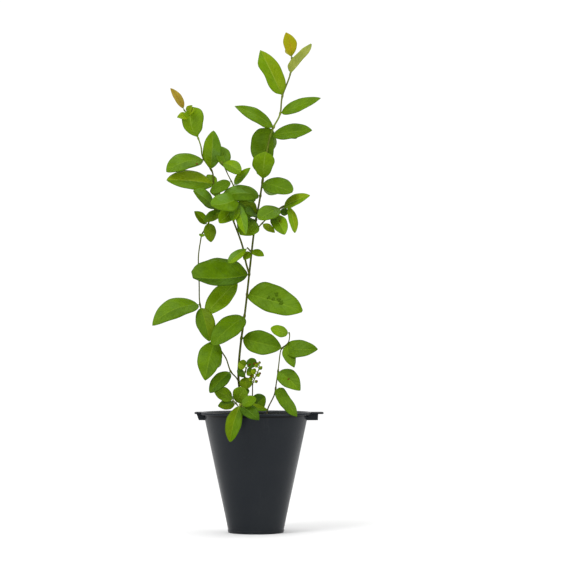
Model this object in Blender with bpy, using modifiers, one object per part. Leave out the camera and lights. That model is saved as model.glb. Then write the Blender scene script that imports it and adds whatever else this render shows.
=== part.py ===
"""A young blueberry bush in a black plastic nursery pot.

Sizes are millimetres, turned into Blender's metres by MM. X runs to the right, Y away from the
front of the pot and Z up. The origin is the middle of the pot's flat underside.
"""

import random
from collections import namedtuple
from math import cos, exp, pi, radians, sin

import bmesh
import bpy
from mathutils import Matrix, Vector

MM = 0.001

# Clear space between touching pieces, and between a limb's end and the shoot that carries on
GAP = 0.3
JOINT_GAP = 0.5

# Pot
POT_HEIGHT = 120
POT_FOOT_RADIUS = 27.2
POT_SHOULDER_RADIUS = 52.6
POT_WALL = 1.3
POT_FLOOR = 2.0
POT_STEPS = 40
RIM_RADIUS = 55.8
RIM_THICK = 1.8
RIM_LIP = 0.6
RIM_LIP_WALL = 1.1
FOOT_BAND_HEIGHT = 3
FOOT_BAND_OUT = 0.5
DRAIN_HOLES = 6
DRAIN_HOLE_RADIUS = 3.2
DRAIN_CIRCLE_RADIUS = 18

# Ears on the rim: heading round the pot, reach of the top plate, and reach of the skirt under it
# at its top and at its bottom
Ear = namedtuple("Ear", "heading plate_reach skirt_top skirt_bottom")
EARS = {
    "tag_ear": Ear(heading=3, plate_reach=67.2, skirt_top=62.0, skirt_bottom=61.6),
    "grip_ear": Ear(heading=176, plate_reach=61.0, skirt_top=59.4, skirt_bottom=56.8),
}
EAR_WIDTH = 21
EAR_SKIRT_WIDTH = 15
EAR_SKIRT_DEPTH = 8
EAR_SKIRT_WALL = 1.6

# Potting mix
SOIL_TOP = 108
SOIL_EDGE = 1.5

# Stems
KNOT_SPACING = 3.5
FLARE = 0.55
FLARE_HEIGHT = 4

# Leaves: the blade is widest at BASE_POWER / (BASE_POWER + TIP_POWER) of its length
BASE_POWER = 0.5
TIP_POWER = 0.74
LEAF_THICK = 0.7
LEAF_CUP = 0.12
LEAF_ARCH = 0.06
PETIOLE_HALF_WIDTH = 0.7
TIP_HALF_WIDTH = 0.3
LEAF_STATIONS = (0, 0.13, 0.4, 0.72, 1)

# Back leaves: one stands behind each front leaf that is at least this wide
BACK_FROM_WIDTH = 13
BACK_LENGTH = 0.55
BACK_WIDTH = 0.9
BACK_DEPTH = (30, 44)
BACK_LIFT = (-2, 8)
BACK_CLEARANCE = 7
STEM_CLEARANCE = 3
RIM_CLEARANCE = 5

# Ways that a leaf's upper face looks
FRONT = (0, -0.95, 0.3)
FRONT_UP = (0, -0.8, 0.6)
HALF_UP = (0, -0.66, 0.75)
UP = (0, -0.12, 1)
FRONT_LEFT = (-0.35, -0.93, 0.2)
FRONT_RIGHT = (0.3, -0.93, 0.2)

# A leaf's root is the point of its stem at that height, and reach is where the tip lies from there.
# Sway bows the blade to its left, as a share of its length.
Leaf = namedtuple("Leaf", "height reach width face sway", defaults=[0])


class Stem:
    """A smooth centreline that rises all the way, and its taper from foot to tip."""

    def __init__(self, points, foot_radius, tip_radius, flare=0):
        self.points = smooth(points)
        self.foot = self.points[0].z
        self.top = self.points[-1].z
        self.foot_radius = foot_radius
        self.tip_radius = tip_radius
        self.flare = flare

    def radius(self, height):
        share = (height - self.foot) / (self.top - self.foot)
        taper = self.foot_radius + (self.tip_radius - self.foot_radius) * share
        return taper + self.flare * exp(-(height - self.foot) / FLARE_HEIGHT)

    def at(self, height):
        """The centreline's point and direction at a height."""
        for a, b in zip(self.points, self.points[1:]):
            if height <= b.z:
                break
        share = (height - a.z) / (b.z - a.z)
        return a.lerp(b, share), (b - a).normalized()

    def between(self, low, high):
        """(point, radius) along the stretch from one height to another."""
        knots = [self.at(low)[0]]
        for point in self.points:
            if low < point.z < high - 1 and (point - knots[-1]).length > KNOT_SPACING:
                knots.append(point)
        knots.append(self.at(high)[0])
        return [(knot, self.radius(knot.z)) for knot in knots]

    def clearance(self, point):
        """How far a point lies outside the bark."""
        gaps = []
        for a, b in zip(self.points, self.points[1:]):
            run = b - a
            share = min(1, max(0, (point - a).dot(run) / run.length_squared))
            gaps.append((point - a - run * share).length - self.radius(a.z + run.z * share))
        return min(gaps)

    def first_clear(self, bearer):
        """The lowest height where a flat cut across this stem is clear of the stem that bears it."""
        height = self.foot
        while True:
            middle, direction = self.at(height)
            side = direction.orthogonal().normalized() * self.radius(height)
            rim = [middle + Matrix.Rotation(pi * i / 6, 3, direction) @ side for i in range(12)]
            if min(bearer.clearance(point) for point in rim) > GAP:
                return height
            height += 0.05


def smooth(points, steps=3):
    """Points on a Catmull-Rom curve through the given ones."""
    knots = [Vector(p) for p in points]
    knots = [2 * knots[0] - knots[1]] + knots + [2 * knots[-1] - knots[-2]]
    curve = []
    for before, a, b, after in zip(knots, knots[1:], knots[2:], knots[3:]):
        for i in range(steps):
            t = i / steps
            curve.append(
                0.5 * (2 * a + (b - before) * t + (2 * before - 5 * a + 4 * b - after) * t**2
                       + (3 * a - before - 3 * b + after) * t**3)
            )
    curve.append(knots[-2])
    return curve


# The stems that stand in the potting mix
MAIN = Stem(
    [(-13, 2, SOIL_TOP + GAP), (-13, 2, 114), (-15.4, 1, 134), (-17.6, 0, 157), (-15.5, 0, 186),
     (-11, 2, 220), (-6.7, 3, 259), (-2, 1, 300), (3, -3, 328), (6.6, -4, 351), (10.8, -5, 380),
     (16.4, -7, 402), (24, -9, 417), (26.3, -10, 435), (34, -12, 456), (36, -13, 474)],
    foot_radius=1.3, tip_radius=0.5, flare=FLARE,
)
LOW_RIGHT = Stem(
    [(11, -14, SOIL_TOP + GAP), (11, -14, 114), (12, -14.5, 124), (18.3, -16, 137.5),
     (20.5, -18, 150), (22.4, -18, 164), (24.4, -17, 180), (26.6, -16, 184.5), (32, -16, 189),
     (33.6, -16, 196), (33, -16, 200)],
    foot_radius=0.85, tip_radius=0.45, flare=FLARE,
)
BUD = Stem(
    [(-4, -6, SOIL_TOP + GAP), (-4, -6, 114), (-3.4, -8, 139), (-3, -10, 149), (-0.5, -11, 155),
     (2.9, -12, 163), (3.3, -12, 168)],
    foot_radius=0.8, tip_radius=0.45, flare=FLARE,
)
TUFT = Stem(
    [(-12, -30, SOIL_TOP + GAP), (-12, -30, 110), (-12, -31, 114), (-13.2, -42, 123), (-15, -56, 127.5)],
    foot_radius=0.8, tip_radius=0.6,
)

# The stems that grow from another, each from a foot inside its bearer's bark
LEFT = Stem(
    [(-16.4, -1, 144), (-18.6, -5, 153), (-25.2, -9, 161), (-29.4, -10, 173), (-35, -8, 182),
     (-41, -4, 193), (-46.5, 0, 204), (-51, 2, 213), (-56.2, 3, 228), (-57, 4, 249),
     (-57.8, 4, 274), (-55.8, 3, 290), (-54, 2, 298), (-49, 0, 306), (-45.5, -1, 314),
     (-42, -2, 321)],
    foot_radius=0.85, tip_radius=0.45,
)
UPPER_LEFT = Stem(
    [(-6.8, 1, 258), (-10.2, -3, 270), (-13.8, -6, 287), (-23, -6, 312), (-28, -4, 325),
     (-36.5, 0, 338), (-42, 2, 347), (-43.2, 3, 358), (-45.3, 3, 363), (-51, 2, 371),
     (-54, 0, 377), (-55, -2, 385), (-57.5, -4, 393), (-62.2, -6, 404), (-66.4, -8, 414),
     (-72, -9, 422)],
    foot_radius=0.85, tip_radius=0.45,
)
SIDE = Stem(
    [(-26.5, -4.6, 320.6), (-33, -9, 321.8), (-41, -12, 322.8)],
    foot_radius=0.6, tip_radius=0.45,
)
CENTRE = Stem(
    [(-22, -6, 309.5), (-21.5, -10, 319), (-19.5, -12.5, 327), (-18.5, -14, 334),
     (-22, -15, 345), (-28, -15, 357), (-31, -15, 365)],
    foot_radius=0.7, tip_radius=0.45,
)
RIGHT = Stem(
    [(-1.9, 1, 299.5), (5.5, -3, 308), (12.2, -5, 314), (25, -7, 324), (32.6, -8, 326.5)],
    foot_radius=0.75, tip_radius=0.45,
)
MIDDLE = Stem(
    [(-4.4, 2, 280), (-6, -5, 281.4), (-8.5, -12, 284)],
    foot_radius=0.5, tip_radius=0.45,
)
SPUR = Stem(
    [(-16.3, 0.5, 138), (-13, -4, 145), (-11.5, -7, 156), (-9.5, -8, 165)],
    foot_radius=0.6, tip_radius=0.45,
)
FOOT = Stem(
    [(-13.8, 1.6, 119), (-17, -4, 125), (-20, -8, 129), (-23, -10, 132)],
    foot_radius=0.6, tip_radius=0.45,
)

# Where a limb ends and the leafy shoot that carries on from it begins
TOP_SHOOT_FOOT = 344
LEFT_HEAD_FOOT = 296.5
UPPER_LEFT_SHOOT_FOOT = 318
LOW_RIGHT_HEAD_FOOT = 182

# Bare limbs: the stem, and the heights of the limb's two ends
LIMBS = {
    "main_stem": (MAIN, MAIN.foot, TOP_SHOOT_FOOT - JOINT_GAP),
    "left_stem": (LEFT, LEFT.first_clear(MAIN), LEFT_HEAD_FOOT - JOINT_GAP),
    "upper_left_branch": (
        UPPER_LEFT, UPPER_LEFT.first_clear(MAIN), UPPER_LEFT_SHOOT_FOOT - JOINT_GAP
    ),
    "low_right_stem": (LOW_RIGHT, LOW_RIGHT.foot, LOW_RIGHT_HEAD_FOOT - JOINT_GAP),
    "bud_stem": (BUD, BUD.foot, BUD.top),
}

# Front leaves on the bare limbs, each a piece of its own
LIMB_LEAVES = {
    "main_leaf": (MAIN, [
        Leaf(257.6, (-55.5, -20, -1.5), 32, FRONT_UP),
        Leaf(237.7, (54.5, -20, -14), 32, FRONT, -0.03),
        Leaf(216, (-33, -24, -27.5), 24, FRONT_LEFT),
        Leaf(193.8, (40, -4, -9.5), 25, FRONT, -0.02),
        Leaf(312, (-16.5, -26, -15), 18, FRONT_UP),
        Leaf(317.5, (-7, -22, 3), 13, FRONT_UP),
    ]),
    "left_leaf": (LEFT, [
        Leaf(227.5, (-46.5, -24, -21.5), 24, FRONT_UP, -0.07),
        Leaf(216, (33.5, -7, 35.5), 21, FRONT_LEFT, -0.02),
        Leaf(225.5, (8.5, 9, -34), 19, FRONT),
        Leaf(192, (-9.5, -22, -40), 24, FRONT, -0.02),
        Leaf(160.8, (-20.5, -14, -21), 15, FRONT_UP),
    ]),
    "low_right_leaf": (LOW_RIGHT, [
        Leaf(161.5, (21, -20, -19), 18, FRONT_UP, -0.06),
        Leaf(144, (20, -40, -25), 18, (0.25, -0.6, 0.75), -0.11),
    ]),
    "bud_leaf": (BUD, [
        Leaf(123, (13, -9, 13), 16, FRONT_LEFT),
    ]),
}

# Leafy shoots, each one solid: its stems, the height where each begins, and their front leaves
SHOOTS = {
    "top_shoot": [(MAIN, TOP_SHOOT_FOOT, [
        Leaf(473, (-6, -2, 25.5), 13.5, FRONT),
        Leaf(457, (21, -6, 29.5), 10.5, FRONT_RIGHT, 0.03),
        Leaf(435, (-22, -12, 45), 20.5, FRONT_RIGHT, 0.05),
        Leaf(418, (39.5, -14, 15.5), 16.5, FRONT_UP, -0.07),
        Leaf(405, (-37.5, -20, 20.5), 19, FRONT_UP, 0.12),
        Leaf(396, (41.5, -18, 4), 22, FRONT_UP, -0.03),
        Leaf(404, (-14, 10, -36), 25, FRONT, -0.05),
        Leaf(352, (2.8, -20, 30), 22.5, FRONT, 0.05),
        Leaf(349.5, (30, -22, -11), 22, FRONT_UP, -0.02),
    ])],
    "upper_left_shoot": [
        (UPPER_LEFT, UPPER_LEFT_SHOOT_FOOT, [
            Leaf(421.5, (-13.5, -4, 21), 10, FRONT_RIGHT, 0.05),
            Leaf(393.5, (-7, -8, 31), 22.5, FRONT, 0.06),
            Leaf(413, (-11.5, -9, 2), 7, HALF_UP),
            Leaf(417, (2, -6, 8), 6, FRONT_UP),
            Leaf(362.5, (3, -12, 37.5), 19, FRONT),
            Leaf(373, (-37.5, -22, -13), 20, FRONT_UP),
            Leaf(348, (-46.5, -20, 3), 26, FRONT_UP, 0.03),
            Leaf(340, (10, -20, 9.5), 12, HALF_UP),
            Leaf(350, (-7.5, -12, 8), 8, HALF_UP),
        ]),
        (SIDE, SIDE.foot, [
            Leaf(322.7, (-21.5, -20, 17), 18, FRONT_UP),
            Leaf(322.5, (-11.5, -7, -9), 9, FRONT_UP),
        ]),
    ],
    "centre_shoot": [(CENTRE, CENTRE.first_clear(UPPER_LEFT), [
        Leaf(341.5, (24, -24, -6), 18, FRONT_UP),
        Leaf(334, (-24.5, -22, -3.5), 19, FRONT),
        Leaf(321, (-15.5, -18, -12), 12, FRONT_UP),
        Leaf(345.5, (17, -7, 17.5), 9, FRONT_UP),
        Leaf(329, (2, -22, -18), 13, FRONT),
        Leaf(331.5, (18.5, -4, 0), 10, FRONT),
        Leaf(364, (-4, -6, 21.5), 13, FRONT),
        Leaf(363.5, (14.5, -18, -4.5), 14, FRONT_UP),
    ])],
    "right_shoot": [(RIGHT, RIGHT.first_clear(MAIN), [
        Leaf(325, (27, -16, 10.5), 16, FRONT_UP, -0.04),
        Leaf(326.3, (4.5, -10, -28), 10, FRONT_RIGHT),
        Leaf(317, (10, -22, -20), 16, FRONT, 0.08),
        Leaf(308.5, (12.5, -8, -9.5), 7, FRONT),
        Leaf(323.5, (-22, -20, -10.5), 16, FRONT_UP),
        Leaf(325.5, (1, 13, -9), 8, UP),
    ])],
    "left_head": [(LEFT, LEFT_HEAD_FOOT, [
        Leaf(307, (-13, -6, 13.5), 10, FRONT_UP),
        Leaf(310, (2.5, -9, -20.5), 12, FRONT),
        Leaf(299, (-1, -6, -4), 6, FRONT),
        Leaf(320.5, (4, -3, 9), 6, FRONT),
    ])],
    "middle_spray": [(MIDDLE, MIDDLE.first_clear(MAIN), [
        Leaf(283.6, (-19, -8, -15), 10, FRONT_UP),
        Leaf(280.9, (-6.5, -9, -9), 8, FRONT),
        Leaf(281.2, (14, -7, -5.5), 9, FRONT_UP),
    ])],
    "low_right_head": [(LOW_RIGHT, LOW_RIGHT_HEAD_FOOT, [
        Leaf(199, (-18.5, -16, 4.5), 12, FRONT_UP),
        Leaf(184, (35.5, -20, -1), 22, FRONT_UP, -0.1),
        Leaf(188, (6, -12, -22.5), 11, FRONT),
    ])],
    "bud_spur": [(SPUR, SPUR.first_clear(MAIN), [
        Leaf(164, (-6, -6, 6), 7, FRONT_UP),
        Leaf(164.5, (8, -6, 5), 8, FRONT_UP),
        Leaf(161, (-7, -8, 0), 10, FRONT_UP),
        Leaf(156, (-3, -8, -11), 12, FRONT),
        Leaf(145, (3, -8, -6), 9, FRONT),
    ])],
    "foot_spray": [(FOOT, FOOT.first_clear(MAIN), [
        Leaf(131.5, (-19, -3, 11), 15, FRONT_UP),
        Leaf(128.5, (-18, -12, -2), 9, FRONT_UP),
        Leaf(129, (12, -10, 12.5), 13, FRONT),
    ])],
    "front_tuft": [(TUFT, TUFT.foot, [
        Leaf(127.2, (-13, -13, -37.5), 18, FRONT, -0.04),
        Leaf(126.5, (18.5, -14, -13), 15, FRONT_UP),
        Leaf(127, (16, -8, 6), 11, FRONT_UP),
        Leaf(124.5, (20, 6, 1), 8, FRONT_UP),
    ])],
}


def material(name, colour, roughness):
    made = bpy.data.materials.new(name)
    made.use_nodes = True
    shader = made.node_tree.nodes["Principled BSDF"]
    shader.inputs["Base Color"].default_value = (*colour, 1)
    shader.inputs["Roughness"].default_value = roughness
    made.diffuse_color = (*colour, 1)
    return made


def place(obj, collection, finish):
    collection.objects.link(obj)
    obj.data.materials.append(finish)
    return obj


def cut_or_join(obj, other, operation, helpers):
    """Adds a Boolean with another object, which stays out of renders."""
    helpers.objects.link(other)
    other.hide_render = True
    other.display_type = "WIRE"
    modifier = obj.modifiers.new(other.name, "BOOLEAN")
    modifier.operation = operation
    modifier.object = other


def turned(name, profile):
    """A solid of revolution about Z, from (radius, height) points that run down its outer side."""
    mesh = bpy.data.meshes.new(name)
    verts = [(r * MM, 0, z * MM) for r, z in profile]
    mesh.from_pydata(verts, [(i, i + 1) for i in range(len(verts) - 1)], [])
    obj = bpy.data.objects.new(name, mesh)
    screw = obj.modifiers.new("turn", "SCREW")
    screw.steps = screw.render_steps = POT_STEPS
    screw.use_merge_vertices = True
    screw.merge_threshold = 0.00005
    screw.use_smooth_shade = True
    return obj


def wall_radius(height):
    """The pot's outer radius below its rim."""
    return POT_FOOT_RADIUS + (POT_SHOULDER_RADIUS - POT_FOOT_RADIUS) * height / POT_HEIGHT


def inner_radius(height):
    return wall_radius(height) - POT_WALL


def block(name, x_low, low, x_high, high, half):
    """A cube pulled to a box from height low to high, with its own (near, far) in X at each."""
    bm = bmesh.new()
    bmesh.ops.create_cube(bm, size=2)
    for vert in bm.verts:
        near, far = x_high if vert.co.z > 0 else x_low
        vert.co.x = (far if vert.co.x > 0 else near) * MM
        vert.co.y *= half * MM
        vert.co.z = (high if vert.co.z > 0 else low) * MM
    mesh = bpy.data.meshes.new(name)
    bm.to_mesh(mesh)
    bm.free()
    return bpy.data.objects.new(name, mesh)


def add_ear(pot, helpers, name, ear):
    """A flat plate that carries on the rim, over a skirt that is open below."""
    under = POT_HEIGHT - RIM_THICK
    bottom = POT_HEIGHT - EAR_SKIRT_DEPTH
    root = inner_radius(bottom) + POT_WALL / 2
    plate_x = (root + 2, ear.plate_reach)
    plate = block(name + "_plate", plate_x, under, plate_x, POT_HEIGHT - 0.05, EAR_WIDTH / 2)
    skirt = block(
        name + "_skirt", (root, ear.skirt_bottom), bottom, (root, ear.skirt_top),
        POT_HEIGHT - RIM_THICK / 2, EAR_SKIRT_WIDTH / 2,
    )
    inside = POT_SHOULDER_RADIUS + 0.4
    hollow = block(
        name + "_hollow", (inside, ear.skirt_bottom - EAR_SKIRT_WALL), bottom - 2,
        (inside, ear.skirt_top - EAR_SKIRT_WALL), under - 0.4, EAR_SKIRT_WIDTH / 2 - EAR_SKIRT_WALL,
    )
    for piece, operation in ((plate, "UNION"), (skirt, "UNION"), (hollow, "DIFFERENCE")):
        piece.rotation_euler.z = radians(ear.heading)
        cut_or_join(pot, piece, operation, helpers)


def drain_holes():
    """The cutter for the round holes in the pot's floor."""
    bm = bmesh.new()
    for i in range(DRAIN_HOLES):
        angle = 2 * pi * (i + 0.5) / DRAIN_HOLES
        centre = Vector((cos(angle), sin(angle), 0)) * DRAIN_CIRCLE_RADIUS * MM
        bmesh.ops.create_cone(
            bm, cap_ends=True, segments=12, radius1=DRAIN_HOLE_RADIUS * MM,
            radius2=DRAIN_HOLE_RADIUS * MM, depth=4 * POT_FLOOR * MM,
            matrix=Matrix.Translation(centre),
        )
    mesh = bpy.data.meshes.new("drain_holes")
    bm.to_mesh(mesh)
    bm.free()
    return bpy.data.objects.new("drain_holes", mesh)


def build_pot(parts, helpers, finish):
    """A tapered shell with a flat rim, two ears and drain holes in its floor."""
    rim_under = POT_HEIGHT - RIM_THICK
    lip_inside = RIM_RADIUS - RIM_LIP_WALL
    profile = [
        (0, POT_FLOOR),
        (inner_radius(POT_FLOOR) - 1, POT_FLOOR),
        (inner_radius(POT_FLOOR + 1.5), POT_FLOOR + 1.5),
        (inner_radius(POT_HEIGHT), POT_HEIGHT),
        (RIM_RADIUS - 0.5, POT_HEIGHT),
        (RIM_RADIUS, POT_HEIGHT - 0.6),
        (RIM_RADIUS, rim_under - RIM_LIP),
        (lip_inside, rim_under - RIM_LIP),
        (lip_inside - 0.3, rim_under),
        (wall_radius(rim_under), rim_under),
        (wall_radius(FOOT_BAND_HEIGHT), FOOT_BAND_HEIGHT),
        (wall_radius(FOOT_BAND_HEIGHT) + FOOT_BAND_OUT, FOOT_BAND_HEIGHT - 0.3),
        (wall_radius(1) + FOOT_BAND_OUT, 0.8),
        (POT_FOOT_RADIUS - 0.3, 0),
        (0, 0),
    ]
    pot = place(turned("pot", profile), parts, finish)
    for name, ear in EARS.items():
        add_ear(pot, helpers, name, ear)
    cut_or_join(pot, drain_holes(), "DIFFERENCE", helpers)


def build_soil(parts, finish):
    """The potting mix that fills the pot to a little under its rim."""
    low = POT_FLOOR + GAP
    profile = [
        (0, SOIL_TOP),
        (inner_radius(SOIL_TOP) - SOIL_EDGE - GAP, SOIL_TOP),
        (inner_radius(SOIL_TOP - SOIL_EDGE) - GAP, SOIL_TOP - SOIL_EDGE),
        (inner_radius(low + 2) - GAP, low + 2),
        (inner_radius(low) - 2, low),
        (0, low),
    ]
    place(turned("soil", profile), parts, finish)


def tube(name, stretch, resolution):
    """A curve with a round bevel along (point, radius) pairs, closed by caps."""
    curve = bpy.data.curves.new(name, "CURVE")
    curve.dimensions = "3D"
    curve.bevel_depth = MM
    curve.bevel_resolution = resolution
    curve.use_fill_caps = True
    spline = curve.splines.new("POLY")
    spline.points.add(len(stretch) - 1)
    for knot, (point, radius) in zip(spline.points, stretch):
        knot.co = (*(point * MM), 1)
        knot.radius = radius
    return bpy.data.objects.new(name, curve)


def as_mesh(curve, collection):
    """The curve's surface as a mesh object with its caps welded on."""
    collection.objects.link(curve)
    bpy.context.view_layer.update()
    graph = bpy.context.evaluated_depsgraph_get()
    mesh = bpy.data.meshes.new_from_object(curve.evaluated_get(graph))
    bm = bmesh.new()
    bm.from_mesh(mesh)
    bmesh.ops.remove_doubles(bm, verts=bm.verts, dist=0.000001)
    bm.to_mesh(mesh)
    bm.free()
    made = bpy.data.objects.new(curve.name + "_mesh", mesh)
    made.matrix_world = curve.matrix_world
    bpy.data.objects.remove(curve)
    return made


def half_width(share, width):
    """Half the blade's width at a share of its length: rounded base, pointed tip."""
    peak = BASE_POWER / (BASE_POWER + TIP_POWER)
    most = peak**BASE_POWER * (1 - peak) ** TIP_POWER
    blade = share**BASE_POWER * (1 - share) ** TIP_POWER / most * width / 2
    return max(blade, PETIOLE_HALF_WIDTH * (1 - share), TIP_HALF_WIDTH)


def blade_point(leaf, root, tip, share, side):
    """A point of the blade: share runs from root to tip, side from -1 to 1 across it."""
    along = Vector(leaf.reach).normalized()
    face = Vector(leaf.face)
    face = (face - face.dot(along) * along).normalized()
    across = face.cross(along)
    length = (tip - root).length
    bow = 4 * share * (1 - share) * length
    half = half_width(share, leaf.width)
    return (
        root
        + along * share * length
        + across * (side * half + leaf.sway * bow)
        + face * (LEAF_ARCH * bow + LEAF_CUP * abs(side) * (half - TIP_HALF_WIDTH))
    )


def blade(name, leaf, root, tip):
    """A cupped, arching blade on its short stalk: a grid drawn to the outline, given a thickness."""
    last = len(LEAF_STATIONS) - 1
    bm = bmesh.new()
    bmesh.ops.create_grid(bm, x_segments=last, y_segments=2, size=1)
    for vert in bm.verts:
        share = LEAF_STATIONS[round((vert.co.x + 1) / 2 * last)]
        vert.co = MM * blade_point(leaf, root, tip, share, vert.co.y)
    mesh = bpy.data.meshes.new(name)
    bm.to_mesh(mesh)
    bm.free()
    mesh.shade_smooth()
    obj = bpy.data.objects.new(name, mesh)
    solid = obj.modifiers.new("thickness", "SOLIDIFY")
    solid.thickness = LEAF_THICK * MM
    solid.offset = 0
    return obj


def ends(leaf, stem):
    """The root on the stem's centreline, and the tip."""
    root = stem.at(leaf.height)[0]
    return root, root + Vector(leaf.reach)


def ends_off_bark(leaf, stem):
    """The same, with the root moved along the leaf until the blade is GAP clear of the bark."""
    root, tip = ends(leaf, stem)
    step = (tip - root).normalized() * 0.05
    while True:
        near = [
            blade_point(leaf, root, tip, share, side)
            for share in (0, 0.06, 0.13, 0.26, 0.4) for side in (-1, -0.5, 0, 0.5, 1)
        ]
        if min(stem.clearance(point) for point in near) > GAP + LEAF_THICK / 2:
            return root, tip
        root = root + step


class Space:
    """Where the leaves of every node are, so that a back leaf keeps clear of other nodes."""

    def __init__(self):
        self.stems = set()
        self.taken = []

    def samples(self, stem, leaf):
        root, tip = ends(leaf, stem)
        return [
            blade_point(leaf, root, tip, share, side)
            for share in (0.3, 0.45, 0.6, 0.75, 0.9, 1) for side in (-1, 0, 1)
        ]

    def take(self, owner, stem, leaf):
        self.stems.add(stem)
        self.taken += [(owner, point) for point in self.samples(stem, leaf)]

    def has_room(self, owner, stem, leaf):
        points = self.samples(stem, leaf)
        others = [other for other in self.stems if other is not stem]
        return (
            min(point.z for point in points) > POT_HEIGHT + RIM_CLEARANCE
            and all(s.clearance(point) > STEM_CLEARANCE for s in others for point in points)
            and all(
                (point - taken).length > BACK_CLEARANCE
                for who, taken in self.taken if who != owner for point in points
            )
        )


def fill_space():
    """Every front leaf takes its space before any back leaf looks for room."""
    space = Space()
    for name, (stem, leaves) in LIMB_LEAVES.items():
        for i, leaf in enumerate(leaves):
            space.take(f"{name}_{i + 1}", stem, leaf)
    for name, bearers in SHOOTS.items():
        for stem, _, leaves in bearers:
            for leaf in leaves:
                space.take(name, stem, leaf)
    return space


def back_leaf(leaf):
    """A shorter leaf from the same bud that reaches back, in line with the front one from the front."""
    chance = random.Random(f"{leaf.height:.1f}")
    x, _, z = Vector(leaf.reach) * BACK_LENGTH
    reach = (x, chance.uniform(*BACK_DEPTH), z + chance.uniform(*BACK_LIFT))
    return Leaf(leaf.height, reach, leaf.width * BACK_WIDTH, UP, leaf.sway)


def build_limb_leaves(name, stem, leaves, space, parts, finish):
    """The leaves of a bare limb, each its own piece."""
    pieces = list(leaves)
    for leaf in map(back_leaf, [leaf for leaf in leaves if leaf.width >= BACK_FROM_WIDTH]):
        piece = f"{name}_{len(pieces) + 1}"
        if space.has_room(piece, stem, leaf):
            space.take(piece, stem, leaf)
            pieces.append(leaf)
    for i, leaf in enumerate(pieces):
        place(blade(f"{name}_{i + 1}", leaf, *ends_off_bark(leaf, stem)), parts, finish)


def build_shoot(name, bearers, space, parts, finish):
    """One solid of twigs and the leaves fused to them."""
    pieces = bpy.data.collections.new(name + "_pieces")
    bpy.context.scene.collection.children.link(pieces)
    twigs = []
    for stem, low, leaves in bearers:
        twigs.append(as_mesh(tube(name + "_twig", stem.between(low, stem.top), 1), pieces))
        grown = list(leaves)
        for leaf in map(back_leaf, [leaf for leaf in leaves if leaf.width >= BACK_FROM_WIDTH]):
            if space.has_room(name, stem, leaf):
                space.take(name, stem, leaf)
                grown.append(leaf)
        for leaf in grown:
            pieces.objects.link(blade(name + "_leaf", leaf, *ends(leaf, stem)))
    for twig in twigs[1:]:
        pieces.objects.link(twig)
    shoot = bpy.data.objects.new(name, twigs[0].data)
    place(shoot, parts, finish)
    fuse(shoot, pieces)
    for piece in list(pieces.objects) + twigs[:1]:
        bpy.data.objects.remove(piece)
    bpy.data.collections.remove(pieces)


def fuse(obj, pieces):
    """One Boolean union with a collection, applied."""
    union = obj.modifiers.new("fuse", "BOOLEAN")
    union.operation = "UNION"
    union.operand_type = "COLLECTION"
    union.collection = pieces
    bpy.context.view_layer.update()
    graph = bpy.context.evaluated_depsgraph_get()
    fused = bpy.data.meshes.new_from_object(obj.evaluated_get(graph))
    obj.modifiers.clear()
    obj.data = fused


def main():
    for obj in list(bpy.data.objects):
        bpy.data.objects.remove(obj)
    parts = bpy.data.collections.new("potted_blueberry_bush")
    helpers = bpy.data.collections.new("cutters")
    for collection in (parts, helpers):
        bpy.context.scene.collection.children.link(collection)
    plastic = material("pot_plastic", (0.035, 0.039, 0.043), 0.45)
    mix = material("potting_mix", (0.06, 0.035, 0.02), 0.95)
    bark = material("stem_bark", (0.16, 0.13, 0.05), 0.6)
    green = material("leaf_green", (0.12, 0.26, 0.02), 0.45)

    build_pot(parts, helpers, plastic)
    build_soil(parts, mix)
    for name, (stem, low, high) in LIMBS.items():
        place(tube(name, stem.between(low, high), 2), parts, bark)
    space = fill_space()
    for name, (stem, leaves) in LIMB_LEAVES.items():
        build_limb_leaves(name, stem, leaves, space, parts, green)
    for name, bearers in SHOOTS.items():
        build_shoot(name, bearers, space, parts, green)


main()
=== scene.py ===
"""The looks of a young blueberry bush in a moulded nursery pot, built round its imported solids.

Sizes are millimetres, turned into Blender's metres by MM. X runs to the right, Y away from the
front of the pot and Z up. The origin is the middle of the pot's flat underside.
"""

import random
from collections import namedtuple
from math import atan2, cos, exp, log, pi, radians, sin, tau

import bmesh
import bpy
from mathutils import Matrix, Vector, noise


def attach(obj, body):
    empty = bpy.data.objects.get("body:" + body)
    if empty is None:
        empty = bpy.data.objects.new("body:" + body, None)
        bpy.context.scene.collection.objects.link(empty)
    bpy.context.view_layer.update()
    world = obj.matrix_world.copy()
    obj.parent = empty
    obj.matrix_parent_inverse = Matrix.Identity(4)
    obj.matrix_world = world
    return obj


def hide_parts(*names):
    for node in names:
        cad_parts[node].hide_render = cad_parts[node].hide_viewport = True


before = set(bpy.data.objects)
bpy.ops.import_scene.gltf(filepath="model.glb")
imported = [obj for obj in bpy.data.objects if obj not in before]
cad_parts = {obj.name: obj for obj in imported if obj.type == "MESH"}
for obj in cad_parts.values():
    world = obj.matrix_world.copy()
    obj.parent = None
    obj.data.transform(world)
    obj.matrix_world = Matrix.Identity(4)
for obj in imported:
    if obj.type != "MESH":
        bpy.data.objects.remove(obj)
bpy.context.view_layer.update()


# Nursery pot
# A thin tapered shell of black polypropylene, injection moulded in one piece, with a flat rim, two
# ears on it, a foot ring and round drain holes. The plant stands in it and it stands on its ring.
MM = 0.001
POT_HEIGHT = 120
FOOT_RADIUS = 27.2
SHOULDER_RADIUS = 52.6
POT_WALL = 1.3
POT_FLOOR = 2.0
POT_STEPS = 160
RIM_RADIUS = 55.8
RIM_THICK = 1.8
RIM_LIP = 0.6
RIM_LIP_WALL = 1.1
FOOT_BAND_HEIGHT = 3
FOOT_BAND_OUT = 0.5
FOOT_RING = 2.4
FOOT_RECESS = 0.7
DRAIN_HOLES = 6
DRAIN_HOLE_RADIUS = 3.2
DRAIN_CIRCLE_RADIUS = 18

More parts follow.
